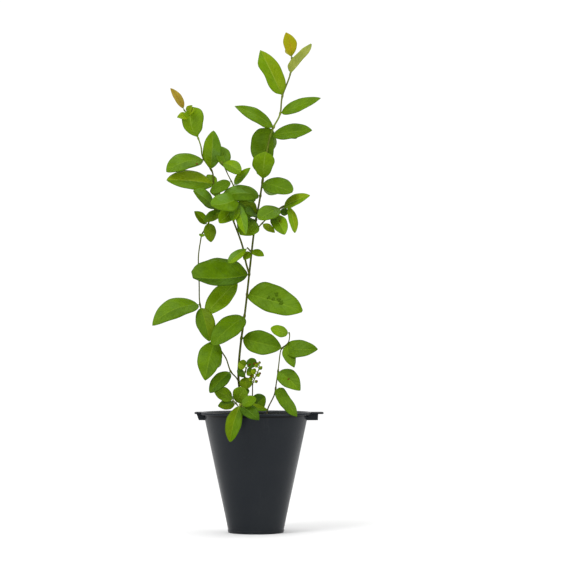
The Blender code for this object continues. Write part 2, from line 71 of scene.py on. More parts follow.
# Each ear: heading round the pot, reach of its top plate, and of the skirt under it at its top and bottom
Ear = namedtuple("Ear", "heading plate_reach skirt_top skirt_bottom")
EARS = [Ear(3, 67.2, 62.0, 61.6), Ear(176, 61.0, 59.4, 56.8)]
EAR_WIDTH = 21
EAR_CORNER = 3.5
EAR_SKIRT_WIDTH = 15
EAR_SKIRT_DEPTH = 8
EAR_SKIRT_WALL = 1.6
EAR_SKIRT_CORNER = 1.2
EAR_HOLLOW_CORNER = 0.5

PLASTIC_SHEEN = 0.13
PLASTIC_GRAIN = 0.09
CHARCOAL = (0.0118, 0.0146, 0.0185)
CHARCOAL_PATCH = (0.0165, 0.0195, 0.0225)
CHARCOAL_WORN = (0.03, 0.032, 0.034)
DRIED_MIX = (0.11, 0.09, 0.065)
# Painted light: the pot's inner wall over the mix is made paler, standing in for top light falling on it.
INNER_WALL_LIGHT = (0.1, 0.106, 0.115)
# Painted shadow: a near-black strip on the outer wall just under the rim, where the rim's shadow falls,
# between these heights.
UNDER_RIM_SHADOW = (0.002, 0.002, 0.002)
UNDER_RIM_SHADOW_BAND = (115.4, 116.4, 118)


def feed(tree, node, inputs):
    """Each input of a node given a value or a colour, or wired from another node's output."""
    for name, value in inputs.items():
        socket = node.inputs[name]
        if isinstance(value, bpy.types.NodeSocket):
            tree.links.new(value, socket)
        else:
            socket.default_value = (*value, 1) if socket.type == "RGBA" else value


def shader_node(tree, kind, inputs=(), **settings):
    """A node with its settings and inputs."""
    made = tree.nodes.new(kind)
    for setting, value in settings.items():
        setattr(made, setting, value)
    feed(tree, made, dict(inputs))
    return made


def reckon(tree, operation, first, second=0.0, third=0.0):
    """The result of one Math node."""
    made = shader_node(tree, "ShaderNodeMath", {0: first, 1: second, 2: third}, operation=operation)
    return made.outputs[0]


def ease(tree, value, low, high):
    """0 below low, 1 above high and smooth between, or the other way round if high is less than low."""
    made = shader_node(
        tree, "ShaderNodeMapRange",
        {"Value": value, "From Min": low, "From Max": high}, interpolation_type="SMOOTHSTEP",
    )
    return made.outputs["Result"]


def blend_colours(tree, share, first, second):
    """The first colour where share is 0 and the second where it is 1."""
    made = shader_node(tree, "ShaderNodeMix", {0: share, 6: first, 7: second}, data_type="RGBA")
    return made.outputs[2]


def effect_group(name, inputs, outputs):
    """An empty shader node group with named inputs and outputs: its tree, its inputs and its end node."""
    tree = bpy.data.node_groups.new(name, "ShaderNodeTree")
    for socket, value in inputs.items():
        kind = "NodeSocketColor" if isinstance(value, tuple) else "NodeSocketFloat"
        made = tree.interface.new_socket(socket, in_out="INPUT", socket_type=kind)
        made.default_value = (*value, 1) if isinstance(value, tuple) else value
    for socket, kind in outputs.items():
        tree.interface.new_socket(socket, in_out="OUTPUT", socket_type=kind)
    return tree, tree.nodes.new("NodeGroupInput").outputs, tree.nodes.new("NodeGroupOutput")


def place_effect(tree, name, **inputs):
    """An effect group placed in a material: input names are written with _ for each space."""
    made = tree.nodes.new("ShaderNodeGroup")
    made.node_tree = bpy.data.node_groups[name]
    feed(tree, made, {socket.replace("_", " "): value for socket, value in inputs.items()})
    return made.outputs


def metres(tree):
    """The place on the object, in metres."""
    return shader_node(tree, "ShaderNodeTexCoord").outputs["Object"]


def grain_field(tree, place, scale, detail=3.0, roughness=0.55):
    """A noise from 0 to 1, with so many bumps a metre."""
    made = shader_node(
        tree, "ShaderNodeTexNoise",
        {"Vector": place, "Scale": scale, "Detail": detail, "Roughness": roughness},
    )
    return made.outputs["Fac"]


def make_mottle():
    """Two colours that run into each other in patches."""
    tree, given, end = effect_group(
        "mottle",
        {"Colour": (0.5, 0.5, 0.5), "Patch Colour": (0.2, 0.2, 0.2), "Scale": 60.0, "Amount": 0.5},
        {"Colour": "NodeSocketColor", "Mask": "NodeSocketFloat"},
    )
    patches = ease(tree, grain_field(tree, metres(tree), given["Scale"]), 0.38, 0.66)
    mask = reckon(tree, "MULTIPLY", patches, given["Amount"])
    colour = blend_colours(tree, mask, given["Colour"], given["Patch Colour"])
    feed(tree, end, {"Colour": colour, "Mask": mask})


def make_fine_grain():
    """The height of a fine even grain, such as spark-eroded mould steel leaves on plastic."""
    tree, given, end = effect_group(
        "fine_grain", {"Scale": 900.0, "Soft Share": 0.4}, {"Height": "NodeSocketFloat"},
    )
    sharp = grain_field(tree, metres(tree), given["Scale"], 2.0)
    soft = grain_field(tree, metres(tree), reckon(tree, "MULTIPLY", given["Scale"], 0.13), 2.0)
    both = shader_node(tree, "ShaderNodeMix", {0: given["Soft Share"], 2: sharp, 3: soft})
    feed(tree, end, {"Height": both.outputs[0]})


def make_wall_marks():
    """Two masks: painted light on the pot's inner wall over the mix, and a painted shadow in the corner
    under its rim.
    """
    tree, _, end = effect_group(
        "wall_marks", {}, {"Inside": "NodeSocketFloat", "Rim Shadow": "NodeSocketFloat"},
    )
    place = metres(tree)
    height = shader_node(tree, "ShaderNodeSeparateXYZ", {"Vector": place}).outputs["Z"]
    flat = shader_node(tree, "ShaderNodeVectorMath", {0: place, 1: (1, 1, 0)}, operation="MULTIPLY")
    radius = shader_node(tree, "ShaderNodeVectorMath", {0: flat.outputs[0]}, operation="LENGTH")
    taper = (FOOT_RADIUS - SHOULDER_RADIUS) / POT_HEIGHT
    level = reckon(tree, "MULTIPLY_ADD", height, taper, radius.outputs["Value"])
    # Painted light: the mask of the inner wall over the mix, which is painted paler.
    inside = ease(tree, level, (FOOT_RADIUS - 0.5) * MM, (FOOT_RADIUS - 1) * MM)
    # Painted shadow: a strip on the outer wall just under the rim.
    low, full, top = (value * MM for value in UNDER_RIM_SHADOW_BAND)
    shadow_band = reckon(tree, "MULTIPLY", ease(tree, height, low, full), reckon(tree, "LESS_THAN", height, top))
    near = reckon(tree, "LESS_THAN", level, (FOOT_RADIUS + 1.2) * MM)
    feed(tree, end, {"Inside": inside, "Rim Shadow": reckon(tree, "MULTIPLY", shadow_band, near)})


def make_scuffs():
    """Where handling has rubbed the surface: long fine strokes, and specks between them."""
    tree, given, end = effect_group(
        "scuffs", {"Stroke Scale": 55.0, "Amount": 0.4}, {"Mask": "NodeSocketFloat"},
    )
    stretched = shader_node(
        tree, "ShaderNodeMapping", {"Vector": metres(tree), "Scale": (1, 1, 0.12)},
    )
    strokes = grain_field(tree, stretched.outputs["Vector"], given["Stroke Scale"], 6.0, 0.75)
    specks = grain_field(tree, metres(tree), 700.0, 1.0)
    mask = reckon(
        tree, "MAXIMUM", ease(tree, strokes, 0.6, 0.72), ease(tree, specks, 0.72, 0.8),
    )
    feed(tree, end, {"Mask": reckon(tree, "MULTIPLY", mask, given["Amount"])})


def make_settled_dust():
    """Dust on what faces up, in patches."""
    tree, given, end = effect_group("settled_dust", {"Amount": 0.5}, {"Mask": "NodeSocketFloat"})
    normal = shader_node(tree, "ShaderNodeNewGeometry").outputs["Normal"]
    up = shader_node(tree, "ShaderNodeSeparateXYZ", {"Vector": normal}).outputs["Z"]
    patches = ease(tree, grain_field(tree, metres(tree), 140.0, 5.0), 0.42, 0.7)
    mask = reckon(tree, "MULTIPLY", ease(tree, up, 0.3, 0.95), patches)
    feed(tree, end, {"Mask": reckon(tree, "MULTIPLY", mask, given["Amount"])})


def new_material(name, specular, roughness=0.5):
    """A material, its node tree and its Principled shader, with the values that are even all over."""
    made = bpy.data.materials.new(name)
    made.use_nodes = True
    tree = made.node_tree
    shader = tree.nodes["Principled BSDF"]
    feed(tree, shader, {"Specular IOR Level": specular, "Roughness": roughness})
    return made, tree, shader


def relief(tree, shader, height, depth):
    """A bump as deep as this."""
    bump = shader_node(
        tree, "ShaderNodeBump", {"Height": height, "Distance": depth * MM, "Strength": 1.0},
    )
    feed(tree, shader, {"Normal": bump.outputs["Normal"]})


def pot_plastic():
    """Grained charcoal polypropylene, a little rubbed, with dried potting mix dusted on its rim, painted
    light on its inner wall over the mix and a painted shadow under its rim.
    """
    made, tree, shader = new_material("pot_plastic", PLASTIC_SHEEN)
    tone = place_effect(
        tree, "mottle", Colour=CHARCOAL, Patch_Colour=CHARCOAL_PATCH, Scale=16.0, Amount=0.6,
    )["Colour"]
    rubbed = place_effect(tree, "scuffs", Stroke_Scale=55.0, Amount=0.35)["Mask"]
    dust = place_effect(tree, "settled_dust", Amount=0.3)["Mask"]
    worn = blend_colours(tree, rubbed, tone, CHARCOAL_WORN)
    dusty = blend_colours(tree, dust, worn, DRIED_MIX)
    marks = place_effect(tree, "wall_marks")
    # Painted light on the inner wall over the mix.
    lit_inside = blend_colours(tree, marks["Inside"], dusty, INNER_WALL_LIGHT)
    # Painted shadow under the rim.
    rim_shadowed = blend_colours(tree, marks["Rim Shadow"], lit_inside, UNDER_RIM_SHADOW)
    matt = reckon(tree, "MULTIPLY_ADD", dust, 0.4, 0.3)
    rough = reckon(tree, "MULTIPLY_ADD", rubbed, 0.12, matt)
    feed(tree, shader, {"Base Color": rim_shadowed, "Roughness": rough})
    grain = place_effect(tree, "fine_grain", Scale=1500.0, Soft_Share=0.35)["Height"]
    relief(tree, shader, grain, PLASTIC_GRAIN)
    return made


def wall_radius(height):
    """The pot's outer radius below its rim."""
    return FOOT_RADIUS + (SHOULDER_RADIUS - FOOT_RADIUS) * height / POT_HEIGHT


def inner_radius(height):
    return wall_radius(height) - POT_WALL


def placed(name, data):
    """An object in the scene, of a mesh, a light or a camera."""
    obj = bpy.data.objects.new(name, data)
    bpy.context.scene.collection.objects.link(obj)
    return obj


def shaped(name, bm):
    """An object in the scene, of the finished mesh."""
    mesh = bpy.data.meshes.new(name)
    bm.to_mesh(mesh)
    bm.free()
    return placed(name, mesh)


def turned(name, profile, steps):
    """A solid of revolution about Z, from (radius, height) points that run down its outer side."""
    mesh = bpy.data.meshes.new(name)
    verts = [(r * MM, 0, z * MM) for r, z in profile]
    mesh.from_pydata(verts, [(i, i + 1) for i in range(len(verts) - 1)], [])
    obj = placed(name, mesh)
    screw = obj.modifiers.new("turn", "SCREW")
    screw.steps = screw.render_steps = steps
    screw.use_merge_vertices = True
    screw.merge_threshold = 0.00002
    return obj


def ear_block(name, x_low, low, x_high, high, half, corner):
    """A block from height low to high, its own (near, far) in X at each, with rounded upright edges."""
    bm = bmesh.new()
    bmesh.ops.create_cube(bm, size=2)
    for vert in bm.verts:
        near, far = x_high if vert.co.z > 0 else x_low
        vert.co.x = (far if vert.co.x > 0 else near) * MM
        vert.co.y *= half * MM
        vert.co.z = (high if vert.co.z > 0 else low) * MM
    outer = [
        edge for edge in bm.edges
        if abs(edge.verts[0].co.z - edge.verts[1].co.z) > MM
        and min(vert.co.x for vert in edge.verts) > x_low[0] * MM + MM
    ]
    bmesh.ops.bevel(bm, geom=outer, offset=corner * MM, segments=6, profile=0.5, affect="EDGES")
    return shaped(name, bm)


def ear_blocks(ear):
    """(block, operation) that join one ear to the pot: its plate, its skirt, and the skirt's hollow."""
    under = POT_HEIGHT - RIM_THICK
    bottom = POT_HEIGHT - EAR_SKIRT_DEPTH
    root = inner_radius(bottom) + POT_WALL / 2
    plate_x = (root + 2, ear.plate_reach)
    plate = ear_block("plate", plate_x, under, plate_x, POT_HEIGHT - 0.05, EAR_WIDTH / 2, EAR_CORNER)
    skirt = ear_block(
        "skirt", (root, ear.skirt_bottom), bottom, (root, ear.skirt_top),
        POT_HEIGHT - RIM_THICK / 2, EAR_SKIRT_WIDTH / 2, EAR_SKIRT_CORNER,
    )
    inside = SHOULDER_RADIUS + 0.4
    hollow = ear_block(
        "hollow", (inside, ear.skirt_bottom - EAR_SKIRT_WALL), bottom - 2,
        (inside, ear.skirt_top - EAR_SKIRT_WALL), under - 0.4,
        EAR_SKIRT_WIDTH / 2 - EAR_SKIRT_WALL, EAR_HOLLOW_CORNER,
    )
    blocks = [(plate, "UNION"), (skirt, "UNION"), (hollow, "DIFFERENCE")]
    for block, _ in blocks:
        block.rotation_euler.z = radians(ear.heading)
    return blocks


def drain_cutter():
    """Round pegs where the floor's drain holes are."""
    bm = bmesh.new()
    for i in range(DRAIN_HOLES):
        angle = tau * (i + 0.5) / DRAIN_HOLES
        centre = Vector((cos(angle), sin(angle), 0)) * DRAIN_CIRCLE_RADIUS * MM
        bmesh.ops.create_cone(
            bm, cap_ends=True, segments=32, radius1=DRAIN_HOLE_RADIUS * MM,
            radius2=DRAIN_HOLE_RADIUS * MM, depth=4 * POT_FLOOR * MM, matrix=Matrix.Translation(centre),
        )
    return shaped("drain_cutter", bm)


def applied(obj, helpers=()):
    """The object with its modifiers made real, and its helpers taken away."""
    bpy.context.view_layer.update()
    graph = bpy.context.evaluated_depsgraph_get()
    mesh = bpy.data.meshes.new_from_object(obj.evaluated_get(graph))
    obj.modifiers.clear()
    obj.data = mesh
    for helper in helpers:
        bpy.data.objects.remove(helper)
    return obj


def build_pot():
    under = POT_HEIGHT - RIM_THICK
    lip_inside = RIM_RADIUS - RIM_LIP_WALL
    mouth = inner_radius(POT_HEIGHT)
    profile = [
        (0, POT_FLOOR),
        (inner_radius(POT_FLOOR) - 1, POT_FLOOR),
        (inner_radius(POT_FLOOR + 1.5), POT_FLOOR + 1.5),
        (mouth - 0.2, POT_HEIGHT - 1.2),
        (mouth + 0.1, POT_HEIGHT - 0.35),
        (mouth + 0.6, POT_HEIGHT),
        (RIM_RADIUS - 0.6, POT_HEIGHT),
        (RIM_RADIUS - 0.18, POT_HEIGHT - 0.16),
        (RIM_RADIUS, POT_HEIGHT - 0.55),
        (RIM_RADIUS, under - RIM_LIP + 0.2),
        (RIM_RADIUS - 0.2, under - RIM_LIP),
        (lip_inside, under - RIM_LIP),
        (lip_inside - 0.3, under),
        (wall_radius(under) + 0.5, under),
        (wall_radius(under - 0.6), under - 0.6),
        (wall_radius(FOOT_BAND_HEIGHT), FOOT_BAND_HEIGHT),
        (wall_radius(FOOT_BAND_HEIGHT) + FOOT_BAND_OUT, FOOT_BAND_HEIGHT - 0.35),
        (wall_radius(1) + FOOT_BAND_OUT, 0.8),
        (wall_radius(0.3) + 0.2, 0.2),
        (FOOT_RADIUS - 0.3, 0),
        (FOOT_RADIUS - FOOT_RING, 0),
        (FOOT_RADIUS - FOOT_RING - 0.4, FOOT_RECESS),
        (0, FOOT_RECESS),
    ]
    pot = turned("nursery_pot", profile, POT_STEPS)
    joined = [pair for ear in EARS for pair in ear_blocks(ear)] + [(drain_cutter(), "DIFFERENCE")]
    for block, operation in joined:
        boolean = pot.modifiers.new(block.name, "BOOLEAN")
        boolean.operation = operation
        boolean.object = block
    applied(pot, [block for block, _ in joined])
    pot.data.shade_smooth()
    pot.data.set_sharp_from_angle(angle=radians(34))
    pot.data.materials.clear()
    pot.data.materials.append(pot_plastic())
    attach(pot, "root")
    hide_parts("pot")


make_mottle()
make_fine_grain()
make_scuffs()
make_settled_dust()
make_wall_marks()
build_pot()


# Potting mix
# Moist peat and composted bark, pressed in by hand to a little under the rim, with bark chips and
# white perlite lying in its top.
SOIL_TOP = 108
SOIL_RELIEF = 1.3
SOIL_RINGS = 46
SOIL_STEPS = 150
CHIPS = 260
CHIP_LENGTHS = (1.2, 4.6)
CHIP_FLATNESS = 0.35
PERLITE = 120
PERLITE_LENGTHS = (0.7, 1.9)
PERLITE_FLATNESS = 0.85
MIX_SHEEN = 0.25
PEAT_RELIEF = 0.9
GRIT_RELIEF = 0.3
PEAT = (0.022, 0.0125, 0.007)
PEAT_DRY = (0.075, 0.045, 0.024)
CHIP_BROWN = (0.07, 0.033, 0.014)
CHIP_GREY = (0.12, 0.085, 0.055)
PERLITE_WHITE = (0.62, 0.6, 0.55)
PERLITE_STAIN = (0.42, 0.38, 0.32)


def soil_height(x, y):
    """The top of the mix, which dips a little at the pot's wall."""
    place = Vector((x, y, 0))
    lumps = noise.fractal(place * 0.22, 0.9, 2.1, 4)
    hollows = noise.noise(place * 0.05 + Vector((7, 3, 0)))
    edge = max(0, (place.length - 42) / 9)
    return SOIL_TOP + SOIL_RELIEF * (0.55 * lumps + 0.6 * hollows) - 0.9 * edge**2


def mix_material(name, colour, patch, scale, rough, depth):
    made, tree, shader = new_material(name, MIX_SHEEN)
    tone = place_effect(tree, "mottle", Colour=colour, Patch_Colour=patch, Scale=scale, Amount=0.9)
    uneven = reckon(tree, "MULTIPLY_ADD", tone["Mask"], 0.1, rough)
    feed(tree, shader, {"Base Color": tone["Colour"], "Roughness": uneven})
    grain = place_effect(tree, "fine_grain", Scale=1100.0, Soft_Share=0.5)["Height"]
    relief(tree, shader, grain, depth)
    return made


def build_soil():
    """A closed body: the uneven top, then the side along the pot's wall, then its underside."""
    low = POT_FLOOR + 0.3
    reach = inner_radius(SOIL_TOP) - 0.35
    turns = [tau * k / SOIL_STEPS for k in range(SOIL_STEPS)]
    bm = bmesh.new()
    rings = []
    for i in range(1, SOIL_RINGS + 1):
        radius = reach * i / SOIL_RINGS
        points = [(radius * cos(turn), radius * sin(turn)) for turn in turns]
        rings.append([bm.verts.new((x * MM, y * MM, soil_height(x, y) * MM)) for x, y in points])
    for radius, height in ((inner_radius(low + 2) - 0.3, low + 2), (inner_radius(low) - 2, low)):
        points = [(radius * cos(turn), radius * sin(turn)) for turn in turns]
        rings.append([bm.verts.new((x * MM, y * MM, height * MM)) for x, y in points])
    for inner, outer in zip(rings, rings[1:]):
        for k in range(SOIL_STEPS):
            after = (k + 1) % SOIL_STEPS
            bm.faces.new((inner[k], outer[k], outer[after], inner[after]))
    middle = bm.verts.new((0, 0, soil_height(0, 0) * MM))
    for k in range(SOIL_STEPS):
        bm.faces.new((middle, rings[0][k], rings[0][(k + 1) % SOIL_STEPS]))
    bm.faces.new(reversed(rings[-1]))
    soil = as_object(bm, "potting_mix", [mix_material("peat", PEAT, PEAT_DRY, 260.0, 0.86, PEAT_RELIEF)])
    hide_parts("soil")


def as_object(bm, name, materials):
    """The finished mesh as a smooth piece that rides with the pot."""
    obj = shaped(name, bm)
    obj.data.shade_smooth()
    for material in materials:
        obj.data.materials.append(material)
    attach(obj, "root")
    return obj


def scatter(name, count, lengths, flatness, seed, material):
    """Many small lumps that lie in the top of the mix, joined in one piece."""
    chance = random.Random(seed)
    bm = bmesh.new()
    reach = inner_radius(SOIL_TOP) - 4.5
    for _ in range(count):
        length = chance.uniform(*lengths)
        radius = reach * chance.random() ** 0.5
        angle = chance.uniform(0, tau)
        x, y = radius * cos(angle), radius * sin(angle)
        roll = Matrix.Rotation(chance.uniform(-0.5, 0.5), 4, "X")
        tilt = roll @ Matrix.Rotation(chance.uniform(-0.4, 0.4), 4, "Y")
        width = length * chance.uniform(0.35, 0.8)
        size = Vector((length, width, length * flatness * chance.uniform(0.6, 1)))
        grid = bmesh.ops.create_icosphere(bm, subdivisions=1, radius=0.5)
        spin = Matrix.Rotation(chance.uniform(0, tau), 4, "Z") @ tilt
        middle = Vector((x, y, soil_height(x, y) + size.z * 0.15))
        for vert in grid["verts"]:
            rough = vert.co * chance.uniform(0.75, 1.2)
            vert.co = (middle + spin @ Vector(a * b for a, b in zip(rough, size))) * MM
    piece = as_object(bm, name, [material])


build_soil()
scatter(
    "bark_chips", CHIPS, CHIP_LENGTHS, CHIP_FLATNESS, "bark chips",
    mix_material("chip", CHIP_BROWN, CHIP_GREY, 170.0, 0.75, GRIT_RELIEF),
)
scatter(
    "perlite", PERLITE, PERLITE_LENGTHS, PERLITE_FLATNESS, "perlite",
    mix_material("perlite", PERLITE_WHITE, PERLITE_STAIN, 500.0, 0.7, GRIT_RELIEF),
)


# Stems
# Young woody canes that rise from the mix: olive-brown bark with fine ridges and pale pores low
# down, green and smoother towards the tips, swollen a little at each knot where a leaf stands.
FLARE = 0.55
FLARE_HEIGHT = 4
RING_SPACING = 1.1
KNOT_SWELL = 0.22
KNOT_LENGTH = 1.3
CANE_SIDES = 14
CANE_RIDGES = 0.1
SOAK = 1.5
SOAKED_SWELL = 1.15
BARK_SHEEN = 0.03
BARK_RELIEF = 0.06
BARK_LOW = (0.1, 0.085, 0.025)
BARK_MIDDLE = (0.092, 0.118, 0.01)
BARK_HIGH = (0.27, 0.36, 0.045)
BARK_TIP = (0.2, 0.24, 0.05)
BARK_GREY = (0.15, 0.15, 0.035)
# Painted shade in the bark's fine ridging.
BARK_FURROW_SHADE = (0.03, 0.028, 0.008)


class Stem:
    """A smooth centreline that rises all the way, and its taper from foot to tip."""

    def __init__(self, points, foot_radius, tip_radius, flare=0):
        self.points = smooth(points)
        self.foot = self.points[0].z
        self.top = self.points[-1].z
        self.foot_radius = foot_radius
        self.tip_radius = tip_radius
        self.flare = flare
        self.knots = []

    def radius(self, height):
        share = (height - self.foot) / (self.top - self.foot)
        taper = self.foot_radius + (self.tip_radius - self.foot_radius) * share
        return taper + self.flare * exp(-(height - self.foot) / FLARE_HEIGHT)

    def at(self, height):
        """The centreline's point at a height."""
        for a, b in zip(self.points, self.points[1:]):
            if height <= b.z:
                break
        return a.lerp(b, (height - a.z) / (b.z - a.z))

    def clearance(self, point):
        """How far a point lies outside the bark."""
        gaps = []
        for a, b in zip(self.points, self.points[1:]):
            run = b - a
            share = min(1, max(0, (point - a).dot(run) / run.length_squared))
            gaps.append((point - a - run * share).length - self.radius(a.z + run.z * share))
        return min(gaps)


def smooth(points, steps=6):
    """Points on a Catmull-Rom curve through the given ones."""
    knots = [Vector(p) for p in points]
    knots = [2 * knots[0] - knots[1]] + knots + [2 * knots[-1] - knots[-2]]
    curve = []
    for before, a, b, after in zip(knots, knots[1:], knots[2:], knots[3:]):
        for i in range(steps):
            t = i / steps
            curve.append(
                0.5 * (2 * a + (b - before) * t + (2 * before - 5 * a + 4 * b - after) * t**2
                       + (3 * a - before - 3 * b + after) * t**3)
            )
    curve.append(knots[-2])
    return curve


STEM_FOOT = SOIL_TOP + 0.3
MAIN = Stem(
    [(-13, 2, STEM_FOOT), (-13, 2, 114), (-15.4, 1, 134), (-17.6, 0, 157), (-15.5, 0, 186),
     (-11, 2, 220), (-6.7, 3, 259), (-2, 1, 300), (3, -3, 328), (6.6, -4, 351), (10.8, -5, 380),
     (16.4, -7, 402), (24, -9, 417), (26.3, -10, 435), (34, -12, 456), (36, -13, 474)],
    foot_radius=1.2, tip_radius=0.8, flare=FLARE,
)
LOW_RIGHT = Stem(
    [(11, -14, STEM_FOOT), (11, -14, 114), (12, -14.5, 124), (18.3, -16, 137.5),
     (20.5, -18, 150), (22.4, -18, 164), (24.4, -17, 180), (26.6, -16, 184.5), (32, -16, 189),
     (33.6, -16, 196), (33, -16, 200)],
    foot_radius=0.72, tip_radius=0.5, flare=FLARE,
)
BUD = Stem(
    [(-4, -6, STEM_FOOT), (-4, -6, 114), (-3.4, -8, 139), (-3, -10, 149), (-0.5, -11, 155),
     (2.9, -12, 163), (3.3, -12, 168)],
    foot_radius=0.8, tip_radius=0.45, flare=FLARE,
)
LEFT = Stem(
    [(-16.4, -1, 144), (-18.6, -5, 153), (-25.2, -9, 161), (-29.4, -10, 173), (-35, -8, 182),
     (-41, -4, 193), (-46.5, 0, 204), (-51, 2, 213), (-56.2, 3, 228), (-57, 4, 249),
     (-57.8, 4, 274), (-55.8, 3, 290), (-54, 2, 298), (-49, 0, 306), (-45.5, -1, 314),
     (-42, -2, 321)],
    foot_radius=0.72, tip_radius=0.6,
)
UPPER_LEFT = Stem(
    [(-6.8, 1, 258), (-10.2, -3, 270), (-13.8, -6, 287), (-23, -6, 312), (-28, -4, 325),
     (-36.5, 0, 338), (-42, 2, 347), (-43.2, 3, 358), (-45.3, 3, 363), (-51, 2, 371),
     (-54, 0, 377), (-55, -2, 385), (-57.5, -4, 393), (-62.2, -6, 404), (-66.4, -8, 414),
     (-72, -9, 422)],
    foot_radius=1, tip_radius=0.65,
)

# Bare limbs: the solid that each stands for, its stem, and the height where its leafy shoot carries on
LIMBS = {
    "main_stem": (MAIN, 344),
    "left_stem": (LEFT, 296.5),
    "upper_left_branch": (UPPER_LEFT, 318),
    "low_right_stem": (LOW_RIGHT, 182),
    "bud_stem": (BUD, BUD.top),
}


def skin(bm, path, radii, sides, ridges=0.0, material=0):
    """A closed tube along a path, its bark standing in and out by ridges, a share of the radius."""
    rings = []
    side = (path[1] - path[0]).orthogonal().normalized()
    for i, (point, radius) in enumerate(zip(path, radii)):
        run = (path[min(i + 1, len(path) - 1)] - path[max(i - 1, 0)]).normalized()
        side = (side - side.dot(run) * run).normalized()
        other = run.cross(side)
        ring = []
        for k in range(sides):
            out = cos(tau * k / sides) * side + sin(tau * k / sides) * other
            uneven = 1 + ridges * (
                noise.noise(out * 2.6 + Vector((0, 0, point.z * 0.07)))
                + 0.5 * noise.noise(out * 1.2 + Vector((5, 0, point.z * 0.9)))
            )
            ring.append(bm.verts.new((point + out * radius * uneven) * MM))
        rings.append(ring)
    faces = [bm.faces.new(reversed(rings[0])), bm.faces.new(rings[-1])]
    for low, high in zip(rings, rings[1:]):
        for k in range(sides):
            faces.append(bm.faces.new((low[k], low[(k + 1) % sides], high[(k + 1) % sides], high[k])))
    for face in faces:
        face.material_index = material
        face.smooth = True


def bark_skin(bm, stem, low, high, sides, ridges):
    """The bark of a stem between two heights, swollen at the stem's knots."""
    count = max(3, round((high - low) / RING_SPACING))
    heights = [low + (high - low) * i / count for i in range(count + 1)]
    radii = [
        stem.radius(max(height, stem.foot))
        + KNOT_SWELL * sum(exp(-(((height - knot) / KNOT_LENGTH) ** 2)) for knot in stem.knots)
        for height in heights
    ]
    skin(bm, [stem.at(height) for height in heights], radii, sides, ridges)


def make_bark_tone():
    """The bark's colour by height: brown at the soil, olive, bright green, and duller at the very top."""
    tree, _, end = effect_group(
        "bark_tone", {}, {"Colour": "NodeSocketColor", "Youth": "NodeSocketFloat"},
    )
    place = metres(tree)
    height = shader_node(tree, "ShaderNodeSeparateXYZ", {"Vector": place}).outputs["Z"]
    wander = reckon(tree, "MULTIPLY_ADD", grain_field(tree, place, 90.0), 0.05, height)
    low = blend_colours(tree, ease(tree, wander, 0.13, 0.2), BARK_LOW, BARK_MIDDLE)
    youth = ease(tree, wander, 0.385, 0.42)
    high = blend_colours(tree, youth, low, BARK_HIGH)
    tip = blend_colours(tree, ease(tree, wander, 0.435, 0.45), high, BARK_TIP)
    feed(tree, end, {"Colour": tip, "Youth": youth})


def stem_bark():
    """Smooth young bark with fine upright ridges, pale pores, a thin grey bloom and painted shade along
    the ridging.
    """
    made, tree, shader = new_material("stem_bark", BARK_SHEEN)
    tone = place_effect(tree, "bark_tone")
    place = metres(tree)
    drawn = shader_node(tree, "ShaderNodeMapping", {"Vector": place, "Scale": (1, 1, 0.15)})
    ridges = grain_field(tree, drawn.outputs["Vector"], 1400.0, 3.0)
    pores = ease(tree, grain_field(tree, drawn.outputs["Vector"], 900.0, 1.0), 0.66, 0.74)
    bloom = reckon(tree, "MULTIPLY", ease(tree, grain_field(tree, place, 120.0), 0.42, 0.7), 0.35)
    bloomed = blend_colours(tree, bloom, tone["Colour"], BARK_GREY)
    pored = blend_colours(tree, reckon(tree, "MULTIPLY", pores, 0.5), bloomed, BARK_GREY)
    # Painted shade: darker where the fine ridge noise runs.
    shaded = blend_colours(tree, reckon(tree, "MULTIPLY", ridges, 0.4), pored, BARK_FURROW_SHADE)
    rough = reckon(tree, "MULTIPLY_ADD", tone["Youth"], -0.12, 0.62)
    feed(tree, shader, {"Base Color": shaded, "Roughness": rough})
    relief(tree, shader, ridges, BARK_RELIEF)
    return made


def build_limbs():
    """Each bare limb, from a little under the top of the mix or inside its bearer's bark."""
    for solid, (stem, high) in LIMBS.items():
        bm = bmesh.new()
        if stem.foot == STEM_FOOT:
            foot = stem.at(stem.foot)
            buried = [foot - Vector((0, 0, SOAK)), foot + Vector((0, 0, 0.2))]
            skin(bm, buried, [stem.radius(stem.foot) * SOAKED_SWELL] * 2, CANE_SIDES, CANE_RIDGES)
        bark_skin(bm, stem, stem.foot, high, CANE_SIDES, CANE_RIDGES)
        limb = as_object(bm, solid + "_bark", [BARK])
        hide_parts(solid)


make_bark_tone()
BARK = stem_bark()


# Twigs and leaves
# Soft green twigs that grow on from the canes, and the leaves that stand at their knots on short
# stalks: thin oval blades with a sunk midrib, fine side veins and a pale wax bloom in patches, which
# is partly painted sheen; leaves and halves that lie in shade get a darker tint, as painted shade.
BLADE_STEPS = 22
BLADE_COLUMNS = 8
LEAF_THICK = 0.32
LEAF_CUP = 0.12
LEAF_ARCH = 0.06
STALK = 1.8
STALK_RADIUS = 0.5
STALK_SIDES = 6
MIDRIB_RADIUS = 0.24
TWIG_SIDES = 10
TWIG_RIDGES = 0.07
BUD_SIDES = 8
RIPPLE = 0.02
MARK_STEPS = 14
MARK_LIFT = 0.1
LEAF_SHEEN = 0.045
LEAF_RELIEF = 0.22
BACK_FROM_WIDTH = 13
BACK_LENGTH = 0.65
BACK_WIDTH = 0.7
BACK_DEPTH = (30, 44)
BACK_LIFT = (-2, 2)
BACK_ROLL = 1.6
BACK_SWAY = 0.08
BACK_OUTLINE = {"widest": 0.64, "base": 1, "tip": 0.75}
BACK_CLEARANCE = 7
STEM_CLEARANCE = 3
RIM_CLEARANCE = 5
PALE_TWIGS = ("front_tuft", "foot_spray")

# Ways that a leaf's upper face looks
FRONT = (0, -0.95, 0.3)
FRONT_UP = (0, -0.8, 0.6)
UP = (0, -0.12, 1)
FRONT_LEFT = (-0.35, -0.93, 0.2)
FRONT_RIGHT = (0.3, -0.93, 0.2)

